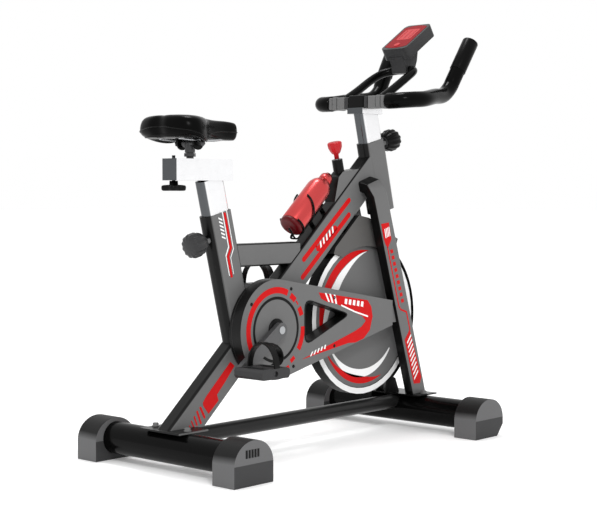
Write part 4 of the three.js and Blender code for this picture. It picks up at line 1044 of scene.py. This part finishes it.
def fork_stickers():
    """The shield, the block, the line and the dashes on the fork legs, and their white strokes."""
    red = [
        [(-22, 489), (9, 483), (8, 462), (6, 437), (-14, 420), (-20, 430), (-23, 447)],
        [(9, 183), (19, 40), (8, 26), (-17, 35), (-19, 163), (0, 175)],
        [
            (-17, 425),
            (-18, 257),
            (-13, 245),
            (8, 230),
            (8, 180),
            (12, 180),
            (12, 233),
            (-10, 248),
            (-14, 259),
            (-13, 422),
        ],
    ]
    red += row([(-7, 412), (4, 411), (4, 401), (-7, 402)], 9, (0.5, -17.5))
    white = row([(-14, 472), (-11, 472), (-13, 448), (-16, 448)], 4, (6, 0))
    white += row([(10, 168), (10, 163), (-12, 148), (-12, 153)], 9, (0, -13))
    mast_stickers("fork_red", red, FORK_FOOT, FORK_LEAN, FORK_FACE, RED)
    mast_stickers("fork_white", white, FORK_FOOT, FORK_LEAN, FORK_FACE, WHITE, WHITE_LIFT)


def flywheel_cover():
    """The grey disc and the red and white crescents on the wheel's faces."""
    disc = [(0, 31), (0, 186), (5.6, 186), (6.2, 184), (6.2, 31.5)]
    for side, sign in SIDES:
        start = (AXLE[0], sign * DISC_BACK, AXLE[1])
        turned(f"flywheel_disc_{side}", start, (0, sign, 0), disc, DISC_GREY, "flywheel", 96)
    red = [
        swoosh(AXLE, [(175, 84), (178, 110), (176, 141)], [(174, 84), (158, 112), (152, 141)]),
        swoosh(AXLE, [(176, 141), (176, 170), (172, 200)], [(152, 141), (158, 172), (171, 200)]),
        swoosh(AXLE, [(175, -66), (175, -101), (170, -150)], [(174, -66), (154, -101), (168, -150)]),
    ]
    white = [
        swoosh(AXLE, [(172, 86), (156, 112), (150, 141)], [(171, 86), (138, 116), (125, 141)]),
        swoosh(AXLE, [(150, 141), (155, 168), (168, 202)], [(125, 141), (138, 172), (166, 202)]),
        swoosh(AXLE, [(143, -40), (160, -100), (152, -152)], [(139, -40), (138, -100), (150, -152)]),
    ]
    stickers("flywheel_red", red, WHEEL_FACE, RED, "flywheel")
    stickers("flywheel_white", white, WHEEL_FACE, WHITE, "flywheel")


def base_details():
    """Bolts on the two mounting plates, and dark ribs on the ends of the rear feet."""
    bolt = [(0, 3), (0, 9), (1.6, 9), (2, 7.6), (2, 7), (7.5, 7), (8.4, 6), (8.4, 2)]
    front_x = FORK_FOOT[0]
    spots = [(REAR_BASE_X, -54), (REAR_BASE_X, 54), (front_x, -80), (front_x, 80)]
    for number, (x, y) in enumerate(spots):
        start = (x, y, PLATE_TOP)
        turned(f"plate_bolt_{number}", start, (0, 0, 1), bolt, GREY_PLASTIC, "frame", 24)
    ribs = row([(35, 62), (41, 62), (41, 80), (35, 80)], 5, (9, 0))
    for side, sign in SIDES:
        near = sign * (REAR_FOOT_FACE + 0.05)
        far = sign * (REAR_FOOT_FACE + 0.55)
        low, high = sorted((near, far))
        slab(f"foot_ribs_rear_{side}", ribs, low, high, BLACK_LINE, "frame")


# ---------------------------------------------------------------- studio


def studio():
    """A large pale floor, a white surround and soft lamps."""
    reach = 40
    corners = [(-reach, -reach, 0), (reach, -reach, 0), (reach, reach, 0), (-reach, reach, 0)]
    floor_mesh = bpy.data.meshes.new("studio_floor")
    floor_mesh.from_pydata(corners, [], [(0, 1, 2, 3)])
    floor_mesh.materials.append(pale_floor())
    floor = bpy.data.objects.new("studio_floor", floor_mesh)
    floor.location.z = -0.0005
    bpy.context.scene.collection.objects.link(floor)
    world = bpy.data.worlds.new("studio_world")
    world.use_nodes = True
    background = world.node_tree.nodes["Background"]
    background.inputs["Color"].default_value = (1, 1, 1, 1)
    background.inputs["Strength"].default_value = 1.0
    bpy.context.scene.world = world
    bpy.context.scene.view_settings.view_transform = "Standard"
    lamp("key", (-2.6, -3.2, 3.2), (0, 0, 0.5), 0.9, 70)
    lamp("top", (0.4, 0.6, 3.6), (0, 0, 0.4), 0.8, 40)


def lamp(name, where, target, size, power):
    """A soft square lamp aimed at a point."""
    data = bpy.data.lights.new(name, "AREA")
    data.size = size
    data.energy = power
    light = bpy.data.objects.new(name, data)
    light.location = where
    light.rotation_euler = (Vector(target) - Vector(where)).to_track_quat("-Z", "Y").to_euler()
    bpy.context.scene.collection.objects.link(light)


def camera():
    """A long lens at a little over half the bike's height, behind the rider's right."""
    yaw = math.radians(42.47)
    pitch = math.radians(2.47)
    data = bpy.data.cameras.new("camera")
    data.lens = 85.1
    data.sensor_width = 36
    made = bpy.data.objects.new("camera", data)
    made.location = (-2.1168 - HALF_LENGTH * MM, -2.389, 0.636)
    ahead = Vector((math.cos(yaw) * math.cos(pitch), math.sin(yaw) * math.cos(pitch), -math.sin(pitch)))
    made.rotation_euler = ahead.to_track_quat("-Z", "Y").to_euler()
    bpy.context.scene.collection.objects.link(made)
    bpy.context.scene.camera = made


# ---------------------------------------------------------------- the scene

camera()
dress_frame()
dress_drive()
dress_posts()
handlebar()
lock_knob("seat_knob", "seat_lock_knob", SEAT_PIN, -1, DARK_GREY)
lock_knob("head_knob", "head_lock_knob", HEAD_PIN, 1, BLACK)
star_knob()
brake_knob()
bottle()
bottle_cage()
saddle()
console()
guard_stickers()
guard_screws()
main_tube_stickers()
seat_tube_stickers()
fork_stickers()
flywheel_cover()
base_details()
studio()
